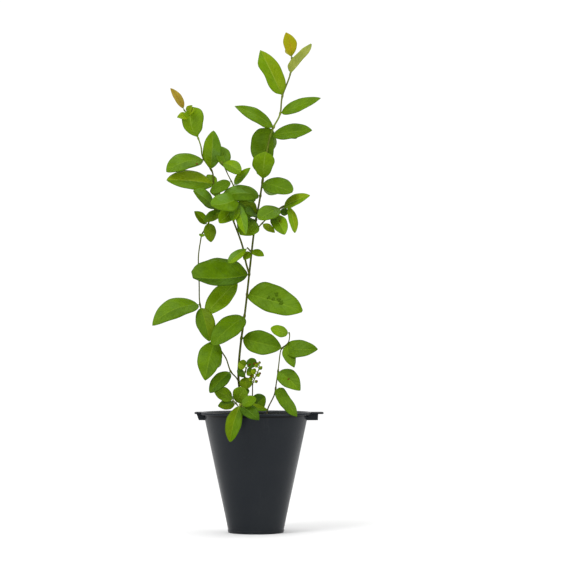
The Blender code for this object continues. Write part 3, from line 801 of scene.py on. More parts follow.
# A leaf's root is the point of its stem at that height, and reach is where the tip lies from there.
# Sway bows the blade to its left, as a share of its length. Left and right are the tints of its two
# halves, seen from root to tip. Widest is how far along it is widest, and base and tip how sharply
# it narrows to its ends: 0.5 is round and 1 is pointed. Edges, for a folded or torn blade, are the
# widths of its two halves at each of EDGE_SHARES. Marks are spots on it: (share along, side from
# -1 to 1, size, tint).
Leaf = namedtuple(
    "Leaf", "height reach width face sway left right widest base tip edges marks",
    defaults=[0, "mature", None, 0.45, 0.55, 0.85, None, ()],
)
EDGE_SHARES = (0, 0.1, 0.25, 0.5, 0.75, 0.9, 1)

# Twigs inside the leafy shoots
SIDE = Stem(
    [(-26.5, -4.6, 320.6), (-33, -9, 321.8), (-41, -12, 322.8)],
    foot_radius=0.6, tip_radius=0.45,
)
CENTRE = Stem(
    [(-22, -6, 309.5), (-21.5, -10, 319), (-19.5, -12.5, 327), (-18.5, -14, 334),
     (-22, -15, 345), (-28, -15, 357), (-31.5, -15, 365), (-35, -14, 370)],
    foot_radius=0.7, tip_radius=0.5,
)
RIGHT = Stem(
    [(-1.9, 1, 299.5), (5.5, -3, 308), (12.2, -5, 314), (25, -7, 324), (32.6, -8, 326.5)],
    foot_radius=0.75, tip_radius=0.45,
)
MIDDLE = Stem(
    [(-4.4, 2, 280), (-6, -5, 281.4), (-8.5, -12, 284)],
    foot_radius=0.5, tip_radius=0.45,
)
SPUR = Stem(
    [(-16.3, 0.5, 138), (-13, -4, 145), (-11.5, -7, 156), (-9.5, -8, 165)],
    foot_radius=0.6, tip_radius=0.45,
)
FOOT = Stem(
    [(-13.8, 1.6, 119), (-17, -4, 125), (-20, -8, 129), (-23, -10, 132)],
    foot_radius=0.6, tip_radius=0.45,
)
TUFT = Stem(
    [(-12, -30, STEM_FOOT), (-12, -30, 110), (-12, -31, 114), (-13.2, -42, 124), (-15, -56, 129.5)],
    foot_radius=0.8, tip_radius=0.6,
)

# Leaves on the bare limbs: the stem, and its front leaves
LIMB_LEAVES = {
    "main_leaf": (MAIN, [
        Leaf(
            257.6, (-56, -20, -3), 32, FRONT_UP, 0.11, "dark", "deep",
            edges=((0, 5, 8, 10.5, 9, 5, 1.5), (4, 15, 21, 24.7, 20.5, 14.5, 6.5)),
        ),
        Leaf(
            237.7, (55.2, -20, -17.2), 29, FRONT, 0, "mature", "mature",
            edges=((5, 13.2, 17, 16.2, 12.4, 7.6, 1.5), (3.5, 6.8, 10.3, 12.8, 10.8, 6.2, 1)),
            marks=(
                (0.5, 0.45, 6, "scar"), (0.39, 0.12, 4.5, "scar"), (0.48, 0.12, 4.5, "scar"),
                (0.57, 0.2, 5, "scar"), (0.63, 0.06, 5, "scar"),
            ),
        ),
        Leaf(216, (-32, -24, -29), 25, FRONT_LEFT, 0, "deep", "deep", 0.45, 0.45, 0.65),
        Leaf(193.8, (40, -4, -9.5), 25, FRONT, -0.02, "deep", "mature", 0.45, 0.5, 0.75),
        Leaf(
            312, (-15.5, -20, -15.5), 20.5, FRONT, 0.05, "fresh", "mature",
            edges=((0, 4.2, 8, 10.2, 8.5, 5, 0), (3, 10.5, 14, 14, 10.5, 6, 0)),
        ),
        Leaf(317.5, (-10.5, -25, 1), 14.5, FRONT, 0, "dark", "dark", 0.5, 0.4, 0.5),
        Leaf(336, (-37.1, -18, -1), 17, FRONT, -0.05, "deep", "sage", 0.5, 0.4, 0.5),
    ]),
    "left_leaf": (LEFT, [
        Leaf(227.5, (-46.5, -24, -21), 25, FRONT_UP, -0.09, "deep", "mature", 0.42, 0.5, 0.8),
        Leaf(216, (33.5, 8, 35.5), 23, FRONT_LEFT, -0.02, "fresh", "fresh", 0.5),
        Leaf(225.5, (9.5, -14, -35), 19, FRONT, 0.02, "olive", "deep", 0.45),
        Leaf(192, (-9.5, -22, -40), 24, FRONT, -0.02, "deep", "mature", 0.45, 0.5),
        Leaf(160.8, (-20.5, -14, -21), 16, FRONT_UP, 0, "dark", "deep", 0.45, 0.45, 0.7),
    ]),
    "low_right_leaf": (LOW_RIGHT, [
        Leaf(
            161.5, (22, -20, -19), 19, FRONT, 0.02, "deep", "mature", 0.42, 0.45,
            marks=((0.5, -0.05, 2.6, "rust"),),
        ),
        Leaf(
            144, (21.3, -30, -26.7), 17.5, FRONT, 0, "deep", "deep",
            edges=((3, 6.2, 6, 5.3, 4.8, 2.5, 0), (1, 4, 5.8, 7, 6.3, 4, 0.5)),
        ),
    ]),
    "bud_leaf": (BUD, [
        Leaf(123, (13, -9, 13), 17, FRONT_LEFT, 0, "dark", "deep", 0.5, 0.5, 0.55),
    ]),
}

# Small bracts on the bud stem, and its buds: height, reach, thickness
BRACTS = [
    Leaf(150, (-4, -2, 5), 4.4, FRONT, 0, "young", "olive"),
    Leaf(153, (-4.5, 1, 6.5), 4.6, FRONT, 0, "olive", "young"),
    Leaf(155, (5, -2, 3.5), 3.8, FRONT, 0, "olive", "young"),
    Leaf(157, (-5, -2, 6), 4.6, FRONT, 0, "young", "fresh"),
    Leaf(160, (-5.5, -1, 3), 4.2, FRONT, 0, "young", "olive"),
    Leaf(161.5, (4, -2, 4.5), 3.6, FRONT, 0, "young", "olive"),
    Leaf(164, (-4.5, -2, 4), 3.8, FRONT, 0, "young", "young"),
]
BUDS = [
    (149.5, (5, -1.5, 2), 1.7),
    (154, (-3.5, -3, 2.5), 1.3),
    (160, (3.5, -2, -1.5), 1.3),
    (164, (-5.5, -2, 5.5), 1.5),
    (166, (-2.5, -1, 4), 1.3),
    (167, (0.6, -1, 4), 1.4),
]

# Leafy shoots: the solid that each stands for, then its twigs, where each begins, and their front leaves
SHOOTS = {
    "top_shoot": [(MAIN, 344, [
        Leaf(473, (-6, -2, 25.5), 13.5, FRONT, -0.05, "amber", "amber", 0.5, 1, 0.95),
        Leaf(
            457, (21, -6, 29.5), 10.5, FRONT_RIGHT, 0, "pale", "pale",
            edges=((3, 7, 7.9, 6.8, 4.9, 2.6, 0.8), (0, 0.6, 1.1, 1.7, 2.9, 2.2, 0.6)),
        ),
        Leaf(
            435, (-22, -12, 45), 20.5, FRONT, 0, "fresh", "young",
            edges=((0, 5.6, 8.4, 8, 9.2, 4.5, 0), (0, 6.5, 9.2, 10.4, 8.2, 4.2, 0)),
        ),
        Leaf(418, (40.3, -14, 14.2), 16.5, FRONT_UP, -0.04, "mature", "mature", 0.42, 0.5),
        Leaf(
            405, (-38.6, -20, 18.9), 19, FRONT_UP, 0, "mature", "mature",
            edges=((3, 7, 10.5, 11, 8.8, 4.4, 0), (1.2, 4.2, 7, 8, 5.2, 2.4, 0)),
        ),
        Leaf(396, (41.5, -18, 4), 21, FRONT_UP, -0.03, "deep", "deep", 0.5, 0.5),
        Leaf(
            404, (-13.8, 10, -35.8), 28, FRONT, 0, "mature", "mature",
            edges=((0, 2.5, 5.5, 9, 11.5, 9, 0), (4, 12.5, 15.5, 15.6, 12.3, 8, 0)),
        ),
        Leaf(
            352, (2.8, -20, 26.9), 22, FRONT, 0, "fresh", "fresh",
            edges=((0, 2.5, 6.7, 11.5, 11, 6.5, 0), (0, 3.5, 6.5, 8.8, 10.2, 8, 0)),
        ),
        Leaf(349.5, (30, -22, -11), 23, FRONT_UP, -0.02, "deep", "deep", 0.5, 0.55, 0.55),
    ])],
    "upper_left_shoot": [
        (UPPER_LEFT, 318, [
            Leaf(421.5, (-13.5, -4, 21.5), 8.6, FRONT_RIGHT, -0.03, "bronze", "bronze", 0.45, 0.7),
            Leaf(
                393.5, (-6, -9, 31), 22, FRONT, 0.14, "fresh", "fresh",
                edges=((0, 3.5, 6.2, 8.3, 8.2, 5, 0), (0, 4.5, 9.5, 13, 13, 8.5, 0)),
            ),
            Leaf(417, (-10, -11, -3.6), 9.5, FRONT, 0.08, "young", "young", 0.35, 0.4, 1),
            Leaf(415.8, (7, -14, 4.5), 8.5, FRONT, 0.1, "young", "young", 0.45, 0.6, 1),
            Leaf(417.5, (5.5, -12, 7.8), 8, FRONT, 0, "young", "young", 0.4, 0.6, 1),
            Leaf(362.5, (3, -24, 37.5), 18.5, FRONT, 0, "fresh", "sage", 0.5, 0.6, 0.75),
            Leaf(
                373, (-36.6, -22, -14), 22.5, FRONT_UP, -0.06, "deep", "mature", 0.5, 0.5, 0.75,
                marks=((0.27, 0.8, 3.4, "rust"),),
            ),
            Leaf(348, (-46.5, -20, 3), 26, FRONT_UP, 0.02, "mature", "young", 0.48, 0.38, 0.75),
            Leaf(339.5, (5, 5, 8), 8, FRONT, 0, "dark", "deep", 0.45, 0.32, 0.55),
            Leaf(339, (-8.5, -10, 1), 11, FRONT, 0, "deep", "mature", 0.4, 0.3, 0.6),
            Leaf(344, (-8.5, 5, 14), 12, FRONT, 0, "fresh", "fresh"),
        ]),
        (SIDE, SIDE.foot, [
            Leaf(322.7, (-21.5, -20, 17), 20, FRONT_UP, 0, "deep", "sage", 0.5),
            Leaf(321.4, (-21, -8, -11.9), 12.5, FRONT_UP, 0, "olive", "deep", 0.5, 0.4),
        ]),
    ],
    "centre_shoot": [(CENTRE, CENTRE.foot, [
        Leaf(340.5, (20, 8, -9.1), 13, FRONT, 0.05, "mature", "sage", 0.5, 0.5, 0.6),
        Leaf(334, (-25.5, -27, -9), 22, FRONT, 0.1, "mature", "sage", 0.5, 0.5, 0.6),
        Leaf(350, (-20, -8, -11.5), 12, FRONT, 0, "deep", "deep", 0.5, 0.45, 0.5),
        Leaf(323, (-15.4, -18, -15.2), 16, FRONT, 0, "fresh", "fresh", 0.45, 0.4, 0.7),
        Leaf(345.5, (17, -7, 17.5), 10, FRONT_UP, 0, "fresh", "sage", 0.42, 0.5),
        Leaf(329, (9.4, -22, -33), 12, FRONT, 0, "sage", "fresh", 0.5, 0.6),
        Leaf(327, (-3, -19, -17), 11, FRONT, 0, "fresh", "sage", 0.5, 0.5, 0.6),
        Leaf(331.5, (18.2, 8, -14), 17, FRONT, 0, "olive", "deep", 0.5, 0.4, 0.5),
        Leaf(362, (-7, 12, 24), 15, FRONT, -0.05, "deep", "deep", 0.5),
        Leaf(368, (18.5, -14, -10.5), 13.5, FRONT, 0.06, "fresh", "mature", 0.55, 0.5, 0.5),
    ])],
    "right_shoot": [(RIGHT, RIGHT.foot, [
        Leaf(325, (27, -16, 10.5), 16, FRONT_UP, -0.02, "young", "fresh", 0.4, 0.5),
        Leaf(326.3, (7, -10, -28), 9.5, FRONT_RIGHT, 0.03, "young", "fresh", 0.5, 0.6, 0.7),
        Leaf(
            317, (13, -22, -20.5), 15.5, FRONT, 0.04, "fresh", "mature", 0.5, 0.5, 0.7,
            marks=((0.45, 0.2, 2.4, "rust"), (0.53, 0.3, 1.4, "rust")),
        ),
        Leaf(308.5, (13, -8, -9.5), 7.5, FRONT, 0, "young", "young"),
        Leaf(323.5, (-21.5, -20, -12.1), 19.5, FRONT_UP, 0, "mature", "mature", 0.5, 0.5, 0.65),
        Leaf(325.5, (0, 7, -9.5), 8.5, FRONT, 0, "dark", "dark"),
    ])],
    "left_head": [(LEFT, 296.5, [
        Leaf(307, (-13, -6, 13.5), 11, FRONT_UP, 0, "olive", "fresh"),
        Leaf(310, (2.5, -9, -20.5), 12.5, FRONT, 0, "olive", "olive", 0.45, 0.55, 0.75),
        Leaf(299, (-1, -6, -4), 6, FRONT, 0, "fresh", "fresh"),
        Leaf(320.5, (4, -3, 9), 6, FRONT, 0, "deep", "deep"),
    ])],
    "middle_spray": [(MIDDLE, MIDDLE.foot, [
        Leaf(283.6, (-19, -8, -15), 11, FRONT_UP, 0, "fresh", "sage", 0.58, 0.55, 0.6),
        Leaf(280.9, (-6.5, -9, -9), 8.5, FRONT, 0, "fresh", "olive"),
        Leaf(281.2, (14, -7, -5.5), 9, FRONT_UP, 0, "fresh", "fresh"),
    ])],
    "low_right_head": [(LOW_RIGHT, 182, [
        Leaf(199, (-18.5, -10, 4.5), 12, FRONT, 0.05, "fresh", "fresh", 0.5, 0.5, 0.6),
        Leaf(184, (35.5, -8, -1), 22, FRONT_UP, -0.07, "deep", "deep", 0.42, 0.45),
        Leaf(188, (7, -16, -23), 12.9, FRONT, -0.05, "deep", "mature", 0.42, 0.45),
    ])],
    "bud_spur": [(SPUR, SPUR.foot, [
        Leaf(164, (-7, -4, 6), 10.5, FRONT, 0, "young", "olive", 0.5, 0.4, 0.45),
        Leaf(
            164.5, (9.7, -3, 8), 10, FRONT, 0, "dark", "dark", 0.5, 0.45, 0.5,
            marks=((0.36, 0, 3.2, "rust"),),
        ),
        Leaf(161, (-7.5, -4, -3), 10.5, FRONT, 0, "dark", "dark", 0.5, 0.4, 0.45),
        Leaf(160, (7.3, -4, 0.6), 9, FRONT, 0, "dark", "olive", 0.5, 0.4, 0.45),
        Leaf(156, (2.8, -5, -12.6), 13, FRONT, 0, "olive", "olive", 0.5, 0.4, 0.55),
        Leaf(145, (3.6, -5, -8.8), 9.5, FRONT, 0, "sage", "dark"),
    ])],
    "foot_spray": [(FOOT, FOOT.foot, [
        Leaf(131.5, (-19.8, -3, 11.7), 16, FRONT_UP, 0, "fresh", "fresh"),
        Leaf(128.5, (-18, -10, -2), 11, FRONT, 0, "olive", "mature", 0.5),
        Leaf(129, (9, -10, 15.5), 16.5, FRONT, 0, "fresh", "fresh", 0.55, 0.45, 0.6),
    ])],
    "front_tuft": [(TUFT, TUFT.foot, [
        Leaf(129.2, (-9.5, -13, -36), 15.5, FRONT, -0.03, "deep", "olive", 0.5, 0.5, 0.75),
        Leaf(128.5, (18.5, -14, -14), 15, FRONT_UP, 0, "dark", "dark", 0.45, 0.6),
        Leaf(129, (16, -8, 6), 11.5, FRONT, 0, "mature", "mature", 0.5, 0.5, 0.7),
        Leaf(126.5, (26, 10, -3), 9, FRONT_UP, 0, "olive", "deep"),
    ])],
}

# Each tint: the blade, its veins, its shaded patches, and how much bloom lies on it
Tint = namedtuple("Tint", "blade vein shade bloom")
TINTS = {
    "mature": Tint((0.11, 0.208, 0.002), (0.155, 0.265, 0.012), (0.07, 0.142, 0.0008), 0.2),
    "deep": Tint((0.087, 0.172, 0.001), (0.13, 0.225, 0.008), (0.054, 0.117, 0.0006), 0.1),
    # Painted shade: a darker copy of the greens, for leaves and leaf halves that lie in shade.
    "dark": Tint((0.056, 0.124, 0.002), (0.09, 0.17, 0.01), (0.028, 0.068, 0.001), 0.12),
    "fresh": Tint((0.166, 0.292, 0.002), (0.24, 0.37, 0.03), (0.112, 0.212, 0.001), 0.15),
    "young": Tint((0.215, 0.315, 0.004), (0.31, 0.4, 0.04), (0.15, 0.24, 0.002), 0.1),
    # Partly painted sheen: the sage tint's bluish green and heavy bloom stand in for reflections of the
    # bright surround as well as the leaves' real wax bloom.
    "sage": Tint((0.12, 0.24, 0.01), (0.19, 0.31, 0.04), (0.085, 0.18, 0.003), 0.6),
    "olive": Tint((0.112, 0.186, 0.001), (0.165, 0.24, 0.008), (0.075, 0.127, 0.0006), 0.04),
    "pale": Tint((0.33, 0.37, 0.065), (0.42, 0.46, 0.14), (0.22, 0.27, 0.035), 0.35),
    "amber": Tint((0.37, 0.32, 0.008), (0.38, 0.21, 0.015), (0.26, 0.285, 0.004), 0.0),
    "bronze": Tint((0.38, 0.27, 0.03), (0.36, 0.15, 0.02), (0.28, 0.2, 0.02), 0.1),
    "rust": Tint((0.17, 0.045, 0.006), (0.2, 0.06, 0.01), (0.09, 0.03, 0.004), 0.0),
    "scar": Tint((0.074, 0.142, 0.002), (0.1, 0.17, 0.008), (0.055, 0.11, 0.001), 0.0),
    "underside": Tint((0.19, 0.29, 0.06), (0.28, 0.38, 0.12), (0.15, 0.24, 0.04), 0.5),
}
TINT_SLOTS = {tint: i for i, tint in enumerate(TINTS)}
# The bloom colour: partly the leaves' real wax bloom, partly painted sheen where the surround would
# reflect.
BLOOM_AND_SHEEN = (0.15, 0.275, 0.06)


def make_leaf_lines():
    """The midrib, side veins and margin of a blade, from its own map: along 0 to 1, across 0 to 1."""
    tree, given, end = effect_group(
        "leaf_lines", {"Pairs Of Veins": 8.0},
        {"Midrib": "NodeSocketFloat", "Veins": "NodeSocketFloat", "Margin": "NodeSocketFloat"},
    )
    spot = shader_node(tree, "ShaderNodeUVMap", uv_map="blade").outputs["UV"]
    parts = shader_node(tree, "ShaderNodeSeparateXYZ", {"Vector": spot})
    along, across = parts.outputs["X"], parts.outputs["Y"]
    out = reckon(tree, "ABSOLUTE", reckon(tree, "MULTIPLY_ADD", across, 2.0, -1.0))
    midrib = ease(tree, out, 0.1, 0.015)
    wobble = reckon(tree, "MULTIPLY_ADD", grain_field(tree, metres(tree), 260.0), 0.06, along)
    lean = reckon(tree, "MULTIPLY_ADD", reckon(tree, "POWER", out, 0.85), -0.24, wobble)
    phase = reckon(tree, "FRACT", reckon(tree, "MULTIPLY", lean, given["Pairs Of Veins"]))
    away = reckon(tree, "ABSOLUTE", reckon(tree, "SUBTRACT", phase, 0.5))
    lines = reckon(tree, "MULTIPLY", ease(tree, away, 0.1, 0.02), ease(tree, out, 0.98, 0.6))
    margin = ease(tree, out, 0.84, 0.99)
    feed(tree, end, {"Midrib": midrib, "Veins": lines, "Margin": margin})


def make_blade_skin():
    """The colour, roughness and relief of a leaf's skin."""
    tree, given, end = effect_group(
        "blade_skin",
        {"Blade": (0.1, 0.2, 0.01), "Vein": (0.2, 0.3, 0.03), "Shade": (0.05, 0.1, 0.01),
         "Bloom": BLOOM_AND_SHEEN, "Bloom Amount": 0.3},
        {"Colour": "NodeSocketColor", "Roughness": "NodeSocketFloat", "Height": "NodeSocketFloat"},
    )
    lines = place_effect(tree, "leaf_lines", Pairs_Of_Veins=8.0)
    place = metres(tree)
    clouds = ease(tree, grain_field(tree, place, 75.0, 4.0), 0.35, 0.68)
    flecks = ease(tree, grain_field(tree, place, 420.0, 2.0), 0.45, 0.75)
    tone = blend_colours(tree, reckon(tree, "MULTIPLY", clouds, 0.7), given["Blade"], given["Shade"])
    flecked = blend_colours(tree, reckon(tree, "MULTIPLY", flecks, 0.22), tone, given["Vein"])
    # Bloom patches: partly the real wax bloom, partly painted sheen.
    wax_and_sheen = ease(tree, grain_field(tree, place, 48.0, 2.0), 0.45, 0.62)
    bloom = reckon(tree, "MULTIPLY", wax_and_sheen, given["Bloom Amount"])
    bloomed = blend_colours(tree, reckon(tree, "MULTIPLY", bloom, 0.75), flecked, given["Bloom"])
    veined = blend_colours(tree, reckon(tree, "MULTIPLY", lines["Veins"], 0.35), bloomed, given["Shade"])
    ribbed = blend_colours(tree, reckon(tree, "MULTIPLY", lines["Midrib"], 0.6), veined, given["Vein"])
    edged = blend_colours(tree, reckon(tree, "MULTIPLY", lines["Margin"], 0.6), ribbed, given["Shade"])
    rough = reckon(tree, "MULTIPLY_ADD", bloom, 0.18, 0.4)
    cells = shader_node(
        tree, "ShaderNodeTexVoronoi", {"Vector": place, "Scale": 900.0}, feature="SMOOTH_F1",
    )
    sunk = reckon(tree, "MULTIPLY_ADD", lines["Veins"], -0.5, 1.0)
    sunk = reckon(tree, "MULTIPLY_ADD", lines["Midrib"], -0.8, sunk)
    height = reckon(tree, "MULTIPLY_ADD", cells.outputs["Distance"], 0.35, sunk)
    feed(tree, end, {"Colour": edged, "Roughness": rough, "Height": height})


def leaf_material(name, tint):
    made, tree, shader = new_material("leaf_" + name, LEAF_SHEEN)
    look = place_effect(
        tree, "blade_skin", Blade=tint.blade, Vein=tint.vein, Shade=tint.shade, Bloom=BLOOM_AND_SHEEN,
        Bloom_Amount=tint.bloom,
    )
    feed(tree, shader, {"Base Color": look["Colour"], "Roughness": look["Roughness"]})
    relief(tree, shader, look["Height"], LEAF_RELIEF)
    return made


def half_width(leaf, share, side):
    """How far the blade reaches from its midrib on one side, at a share of its length."""
    share = min(max(share, 0), 1)
    if leaf.edges:
        return drawn_width(leaf.edges[0 if side > 0 else 1], share)
    crest = leaf.base / (leaf.base + leaf.tip)
    run = share ** (log(crest) / log(leaf.widest))
    most = crest**leaf.base * (1 - crest) ** leaf.tip
    return leaf.width / 2 * run**leaf.base * (1 - run) ** leaf.tip / most


def drawn_width(widths, share):
    """A width between those given at EDGE_SHARES."""
    curve = smooth([(at, width, 0) for at, width in zip(EDGE_SHARES, widths)])
    for a, b in zip(curve, curve[1:]):
        if share <= b.x:
            break
    return a.lerp(b, (share - a.x) / (b.x - a.x)).y


def axes(leaf):
    """Unit vectors along the blade, across it to its left, and out of its upper face."""
    along = Vector(leaf.reach).normalized()
    face = Vector(leaf.face)
    face = (face - face.dot(along) * along).normalized()
    return along, face.cross(along), face


def blade_point(leaf, root, tip, share, side):
    """A point of the blade: share runs from root to tip, side from -1 to 1 across it."""
    along, across, face = axes(leaf)
    length = (tip - root).length
    bow = 4 * share * (1 - share) * length
    half = half_width(leaf, (share * length - STALK) / (length - STALK), side)
    phase = leaf.height * 7 + leaf.width
    ripple = 1 + RIPPLE * sin(share * 17 + phase + side * 2)
    wave = RIPPLE * 1.6 * leaf.width * abs(side) * sin(share * 11 + phase + side * 1.5)
    return (
        root
        + along * share * length
        + across * (side * half * ripple + leaf.sway * bow)
        + face * (LEAF_ARCH * bow + LEAF_CUP * abs(side) ** 1.3 * half + wave * share * (1 - share))
    )


def ends(leaf, stem):
    """The root on the stem's centreline, and the tip."""
    root = stem.at(leaf.height)
    return root, root + Vector(leaf.reach)


def grow_blade(bm, leaf, root, tip):
    """A cupped, arching, rippled blade: a grid drawn to the outline, each half with its own tint.

    The grid's rows stand closer together towards the blade's two ends.
    """
    stalk = STALK / (tip - root).length
    grid = bmesh.ops.create_grid(
        bm, x_segments=BLADE_STEPS, y_segments=BLADE_COLUMNS, size=1, calc_uvs=True,
    )
    left, right = TINT_SLOTS[leaf.left], TINT_SLOTS[leaf.right or leaf.left]
    for face in {face for vert in grid["verts"] for face in vert.link_faces}:
        face.material_index = left if face.calc_center_median().y > 0 else right
        face.smooth = True
    for vert in grid["verts"]:
        even = (vert.co.x + 1) / 2
        crowded = (1 - cos(pi * even)) / 2
        share = stalk + (1 - stalk) * (0.6 * crowded + 0.4 * even)
        vert.co = MM * blade_point(leaf, root, tip, share, vert.co.y)
    for mark in leaf.marks:
        spread_mark(bm, leaf, root, tip, mark)


def spread_mark(bm, leaf, root, tip, mark):
    """A ragged spot that lies on the blade."""
    share, side, size, tint = mark
    chance = random.Random(f"{leaf.height:.1f} {share}")
    length = (tip - root).length
    half = max(1, half_width(leaf, share, side))
    above = axes(leaf)[2] * MARK_LIFT
    ring = []
    for i in range(MARK_STEPS):
        out = size / 2 * chance.uniform(0.3, 1.15)
        angle = tau * i / MARK_STEPS
        along = share + out * cos(angle) / length
        across = side + out * sin(angle) / half
        edge = blade_point(leaf, root, tip, along, across)
        ring.append(bm.verts.new((edge + above) * MM))
    middle = bm.verts.new((blade_point(leaf, root, tip, share, side) + above) * MM)
    for a, b in zip(ring, ring[1:] + ring[:1]):
        bm.faces.new((middle, a, b)).material_index = TINT_SLOTS[tint]


def grow_stalk(bm, leaf, stem, root, tip, material):
    """The leaf's short stalk, carried on under the blade as a raised midrib."""
    stalk = STALK / (tip - root).length
    below = axes(leaf)[2] * LEAF_THICK * 0.6
    shares = [0, stalk * 0.6, stalk * 1.2, 0.2, 0.35, 0.5, 0.65, 0.8, 0.94]
    path = [root] + [blade_point(leaf, root, tip, share, 0) - below for share in shares[1:]]
    radii = [STALK_RADIUS, STALK_RADIUS * 0.8, STALK_RADIUS * 0.75]
    radii += [MIDRIB_RADIUS * (1.25 - share) for share in shares[3:]]
    skin(bm, path, radii, STALK_SIDES, 0, material)


class Space:
    """Where the leaves of every shoot are, so that a back leaf keeps clear of other shoots."""

    def __init__(self):
        self.stems = set()
        self.taken = []

    def samples(self, stem, leaf):
        root, tip = ends(leaf, stem)
        return [
            blade_point(leaf, root, tip, share, side)
            for share in (0.3, 0.45, 0.6, 0.75, 0.9, 1) for side in (-1, 0, 1)
        ]

    def take(self, owner, stem, leaf):
        self.stems.add(stem)
        self.taken += [(owner, point) for point in self.samples(stem, leaf)]

    def has_room(self, owner, stem, leaf):
        points = self.samples(stem, leaf)
        others = [other for other in self.stems if other is not stem]
        return (
            min(point.z for point in points) > POT_HEIGHT + RIM_CLEARANCE
            and all(s.clearance(point) > STEM_CLEARANCE for s in others for point in points)
            and all(
                (point - taken).length > BACK_CLEARANCE
                for who, taken in self.taken if who != owner for point in points
            )
        )


def fill_space():
    """Every front leaf takes its space before any back leaf looks for room."""
    space = Space()
    for name, (stem, leaves) in LIMB_LEAVES.items():
        for i, leaf in enumerate(leaves):
            space.take(f"{name}_{i + 1}", stem, leaf)
    for name, bearers in SHOOTS.items():
        for stem, _, leaves in bearers:
            for leaf in leaves:
                space.take(name, stem, leaf)
    return space


def back_leaf(leaf):
    """A shorter leaf from the same bud that reaches back behind the front one, rolled its own way."""
    chance = random.Random(f"{leaf.height:.1f}")
    x, _, z = Vector(leaf.reach) * BACK_LENGTH
    reach = (x, chance.uniform(*BACK_DEPTH), z + chance.uniform(*BACK_LIFT))
    face = (chance.uniform(-BACK_ROLL, BACK_ROLL), UP[1], UP[2])
    sway = chance.uniform(-BACK_SWAY, BACK_SWAY)
    width = leaf.width * BACK_WIDTH
    return leaf._replace(
        reach=reach, width=width, face=face, sway=sway, edges=None, marks=(), **BACK_OUTLINE,
    )


def with_back_leaves(name, stem, leaves, space):
    """The front leaves, and a back leaf behind each wide one where there is room."""
    grown = list(leaves)
    for leaf in map(back_leaf, [leaf for leaf in leaves if leaf.width >= BACK_FROM_WIDTH]):
        owner = name if name in SHOOTS else f"{name}_{len(grown) + 1}"
        if space.has_room(owner, stem, leaf):
            space.take(owner, stem, leaf)
            grown.append(leaf)
    return grown


def grow_bud(bm, stem, height, reach, thick):
    """A plump pointed bud on a short stalk, green below and rusty at its tip."""
    root = stem.at(height)
    run = Vector(reach)
    stalk = [root + run * share for share in (0, 0.2, 0.4)]
    skin(bm, stalk, [0.35, 0.32, 0.35], STALK_SIDES, 0, TINT_SLOTS["young"])
    green = [root + run * share for share in (0.36, 0.45, 0.6, 0.75)]
    radii = [thick * swell for swell in (0.3, 0.8, 1, 0.85)]
    skin(bm, green, radii, BUD_SIDES, 0.1, TINT_SLOTS["young"])
    rusty = [root + run * share for share in (0.72, 0.82, 0.93, 1)]
    radii = [thick * swell for swell in (0.84, 0.75, 0.45, 0.1)]
    skin(bm, rusty, radii, BUD_SIDES, 0.15, TINT_SLOTS["rust"])


def build_buds():
    """The late buds and their bracts on the shortest cane."""
    bm = bmesh.new()
    for height, reach, thick in BUDS:
        grow_bud(bm, BUD, height, reach, thick)
    buds = as_object(bm, "bud_stem_buds", list(LEAF_MATERIALS.values()))
    bracts = [(leaf, BUD) for leaf in BRACTS]
    leaf_piece("bud_stem_bracts", bracts, [])
    twig_piece("bud_stem_stalks", [], bracts)


def leaf_piece(name, grown, solids):
    """Blades of one shoot or limb, joined, with a skin of their own thickness and a paler underside."""
    bm = bmesh.new()
    bm.loops.layers.uv.new("blade")
    for leaf, stem in grown:
        grow_blade(bm, leaf, *ends(leaf, stem))
    undersides = [LEAF_MATERIALS["underside"]] * len(TINTS)
    piece = as_object(bm, name, list(LEAF_MATERIALS.values()) + undersides)
    solid = piece.modifiers.new("thickness", "SOLIDIFY")
    solid.thickness = LEAF_THICK * MM
    solid.offset = -1
    solid.material_offset = len(TINTS)
    if solids:
        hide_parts(*solids)


def twig_piece(name, twigs, grown):
    """Twigs and leaf stalks, joined."""
    bm = bmesh.new()
    for stem, low in twigs:
        bark_skin(bm, stem, low, stem.top, TWIG_SIDES, TWIG_RIDGES)
    for leaf, stem in grown:
        grow_stalk(bm, leaf, stem, *ends(leaf, stem), 1)
    pale = [LEAF_MATERIALS["pale"]] * 2
    piece = as_object(bm, name, pale if name.startswith(PALE_TWIGS) else [BARK, LEAF_MATERIALS["fresh"]])


def build_foliage():
    space = fill_space()
    for name, (stem, leaves) in LIMB_LEAVES.items():
        grown = [(leaf, stem) for leaf in with_back_leaves(name, stem, leaves, space)]
        stem.knots += [leaf.height for leaf, _ in grown]
        solids = [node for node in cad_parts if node.startswith(name)]
        leaf_piece(name + "_blades", grown, solids)
        twig_piece(name + "_stalks", [], grown)
    for name, bearers in SHOOTS.items():
        grown = []
        for stem, low, leaves in bearers:
            added = with_back_leaves(name, stem, leaves, space)
            stem.knots += [leaf.height for leaf in added]
            grown += [(leaf, stem) for leaf in added]
        leaf_piece(name + "_blades", grown, [name])
        twig_piece(name + "_twigs", [(stem, low) for stem, low, _ in bearers], grown)


make_leaf_lines()
make_blade_skin()
LEAF_MATERIALS = {name: leaf_material(name, tint) for name, tint in TINTS.items()}
build_foliage()
build_buds()
build_limbs()


# Studio
# A plain pale floor, a white surround and three soft lights, with the camera a hand's width above
# the pot's rim and far enough back that the rim is seen almost edge on.
FLOOR_SIZE = 4
FLOOR_FADE = (0.35, 1.1)
CAMERA_PLACE = (0.0305, -2.5, 0.205)
CAMERA_AIM = 0.2455
CAMERA_SENSOR = 36
PHOTO_WIDTH = 573
PIXELS_PER_RADIAN = 2500
SURROUND = 0.65
BACKDROP = 1.05
LIGHT_AIM = 0.27


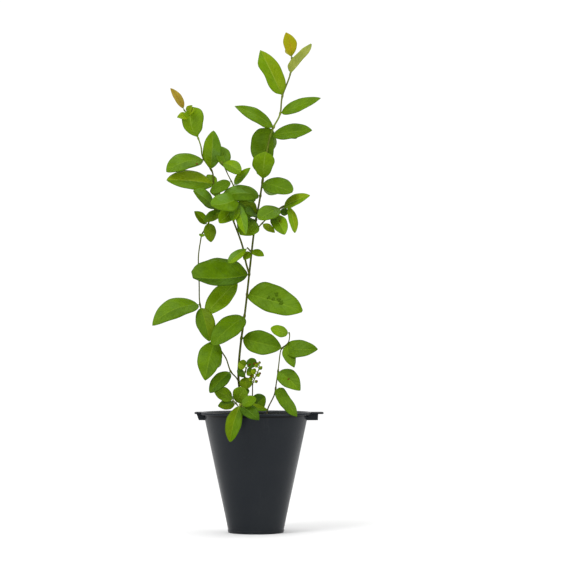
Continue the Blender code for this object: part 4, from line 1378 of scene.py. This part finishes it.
def build_floor():
    bm = bmesh.new()
    bmesh.ops.create_grid(bm, x_segments=8, y_segments=8, size=FLOOR_SIZE / 2)
    floor = shaped("floor", bm)
    made, tree, shader = new_material("floor_paint", 0.1, 0.9)
    tone = place_effect(
        tree, "mottle", Colour=(0.93, 0.93, 0.93), Patch_Colour=(0.9, 0.9, 0.9), Scale=2.0, Amount=0.5,
    )
    out = shader_node(tree, "ShaderNodeVectorMath", {0: metres(tree)}, operation="LENGTH")
    fade = ease(tree, out.outputs["Value"], *reversed(FLOOR_FADE))
    feed(tree, shader, {"Base Color": tone["Colour"], "Alpha": fade})
    floor.data.materials.append(made)


def build_surround():
    """White behind the object, and an even soft light from all round."""
    world = bpy.data.worlds.new("studio")
    world.use_nodes = True
    tree = world.node_tree
    seen = shader_node(tree, "ShaderNodeLightPath").outputs["Is Camera Ray"]
    strength = shader_node(tree, "ShaderNodeMix", {0: seen, 2: SURROUND, 3: BACKDROP})
    feed(tree, tree.nodes["Background"], {"Color": (1, 1, 1), "Strength": strength.outputs[0]})
    bpy.context.scene.world = world


def soft_light(name, place, size, watts):
    """A square panel that faces the plant."""
    light = bpy.data.lights.new(name, "AREA")
    light.size = size
    light.energy = watts
    obj = placed(name, light)
    obj.location = place
    obj.rotation_euler = (Vector((0, 0, LIGHT_AIM)) - Vector(place)).to_track_quat("-Z", "Y").to_euler()


def build_camera():
    camera = bpy.data.cameras.new("camera")
    camera.sensor_width = CAMERA_SENSOR
    camera.lens = CAMERA_SENSOR * PIXELS_PER_RADIAN / PHOTO_WIDTH
    obj = placed("camera", camera)
    obj.location = CAMERA_PLACE
    obj.rotation_euler = (pi / 2 + atan2(CAMERA_AIM - CAMERA_PLACE[2], -CAMERA_PLACE[1]), 0, 0)
    bpy.context.scene.camera = obj


build_floor()
build_surround()
soft_light("key", (-0.9, -1.2, 1.9), 1.0, 28)
soft_light("fill", (1.8, -1.4, 0.9), 1.4, 12)
soft_light("top", (0.2, 0.4, 2.0), 1.6, 16)
build_camera()
bpy.context.scene.view_settings.view_transform = "Standard"
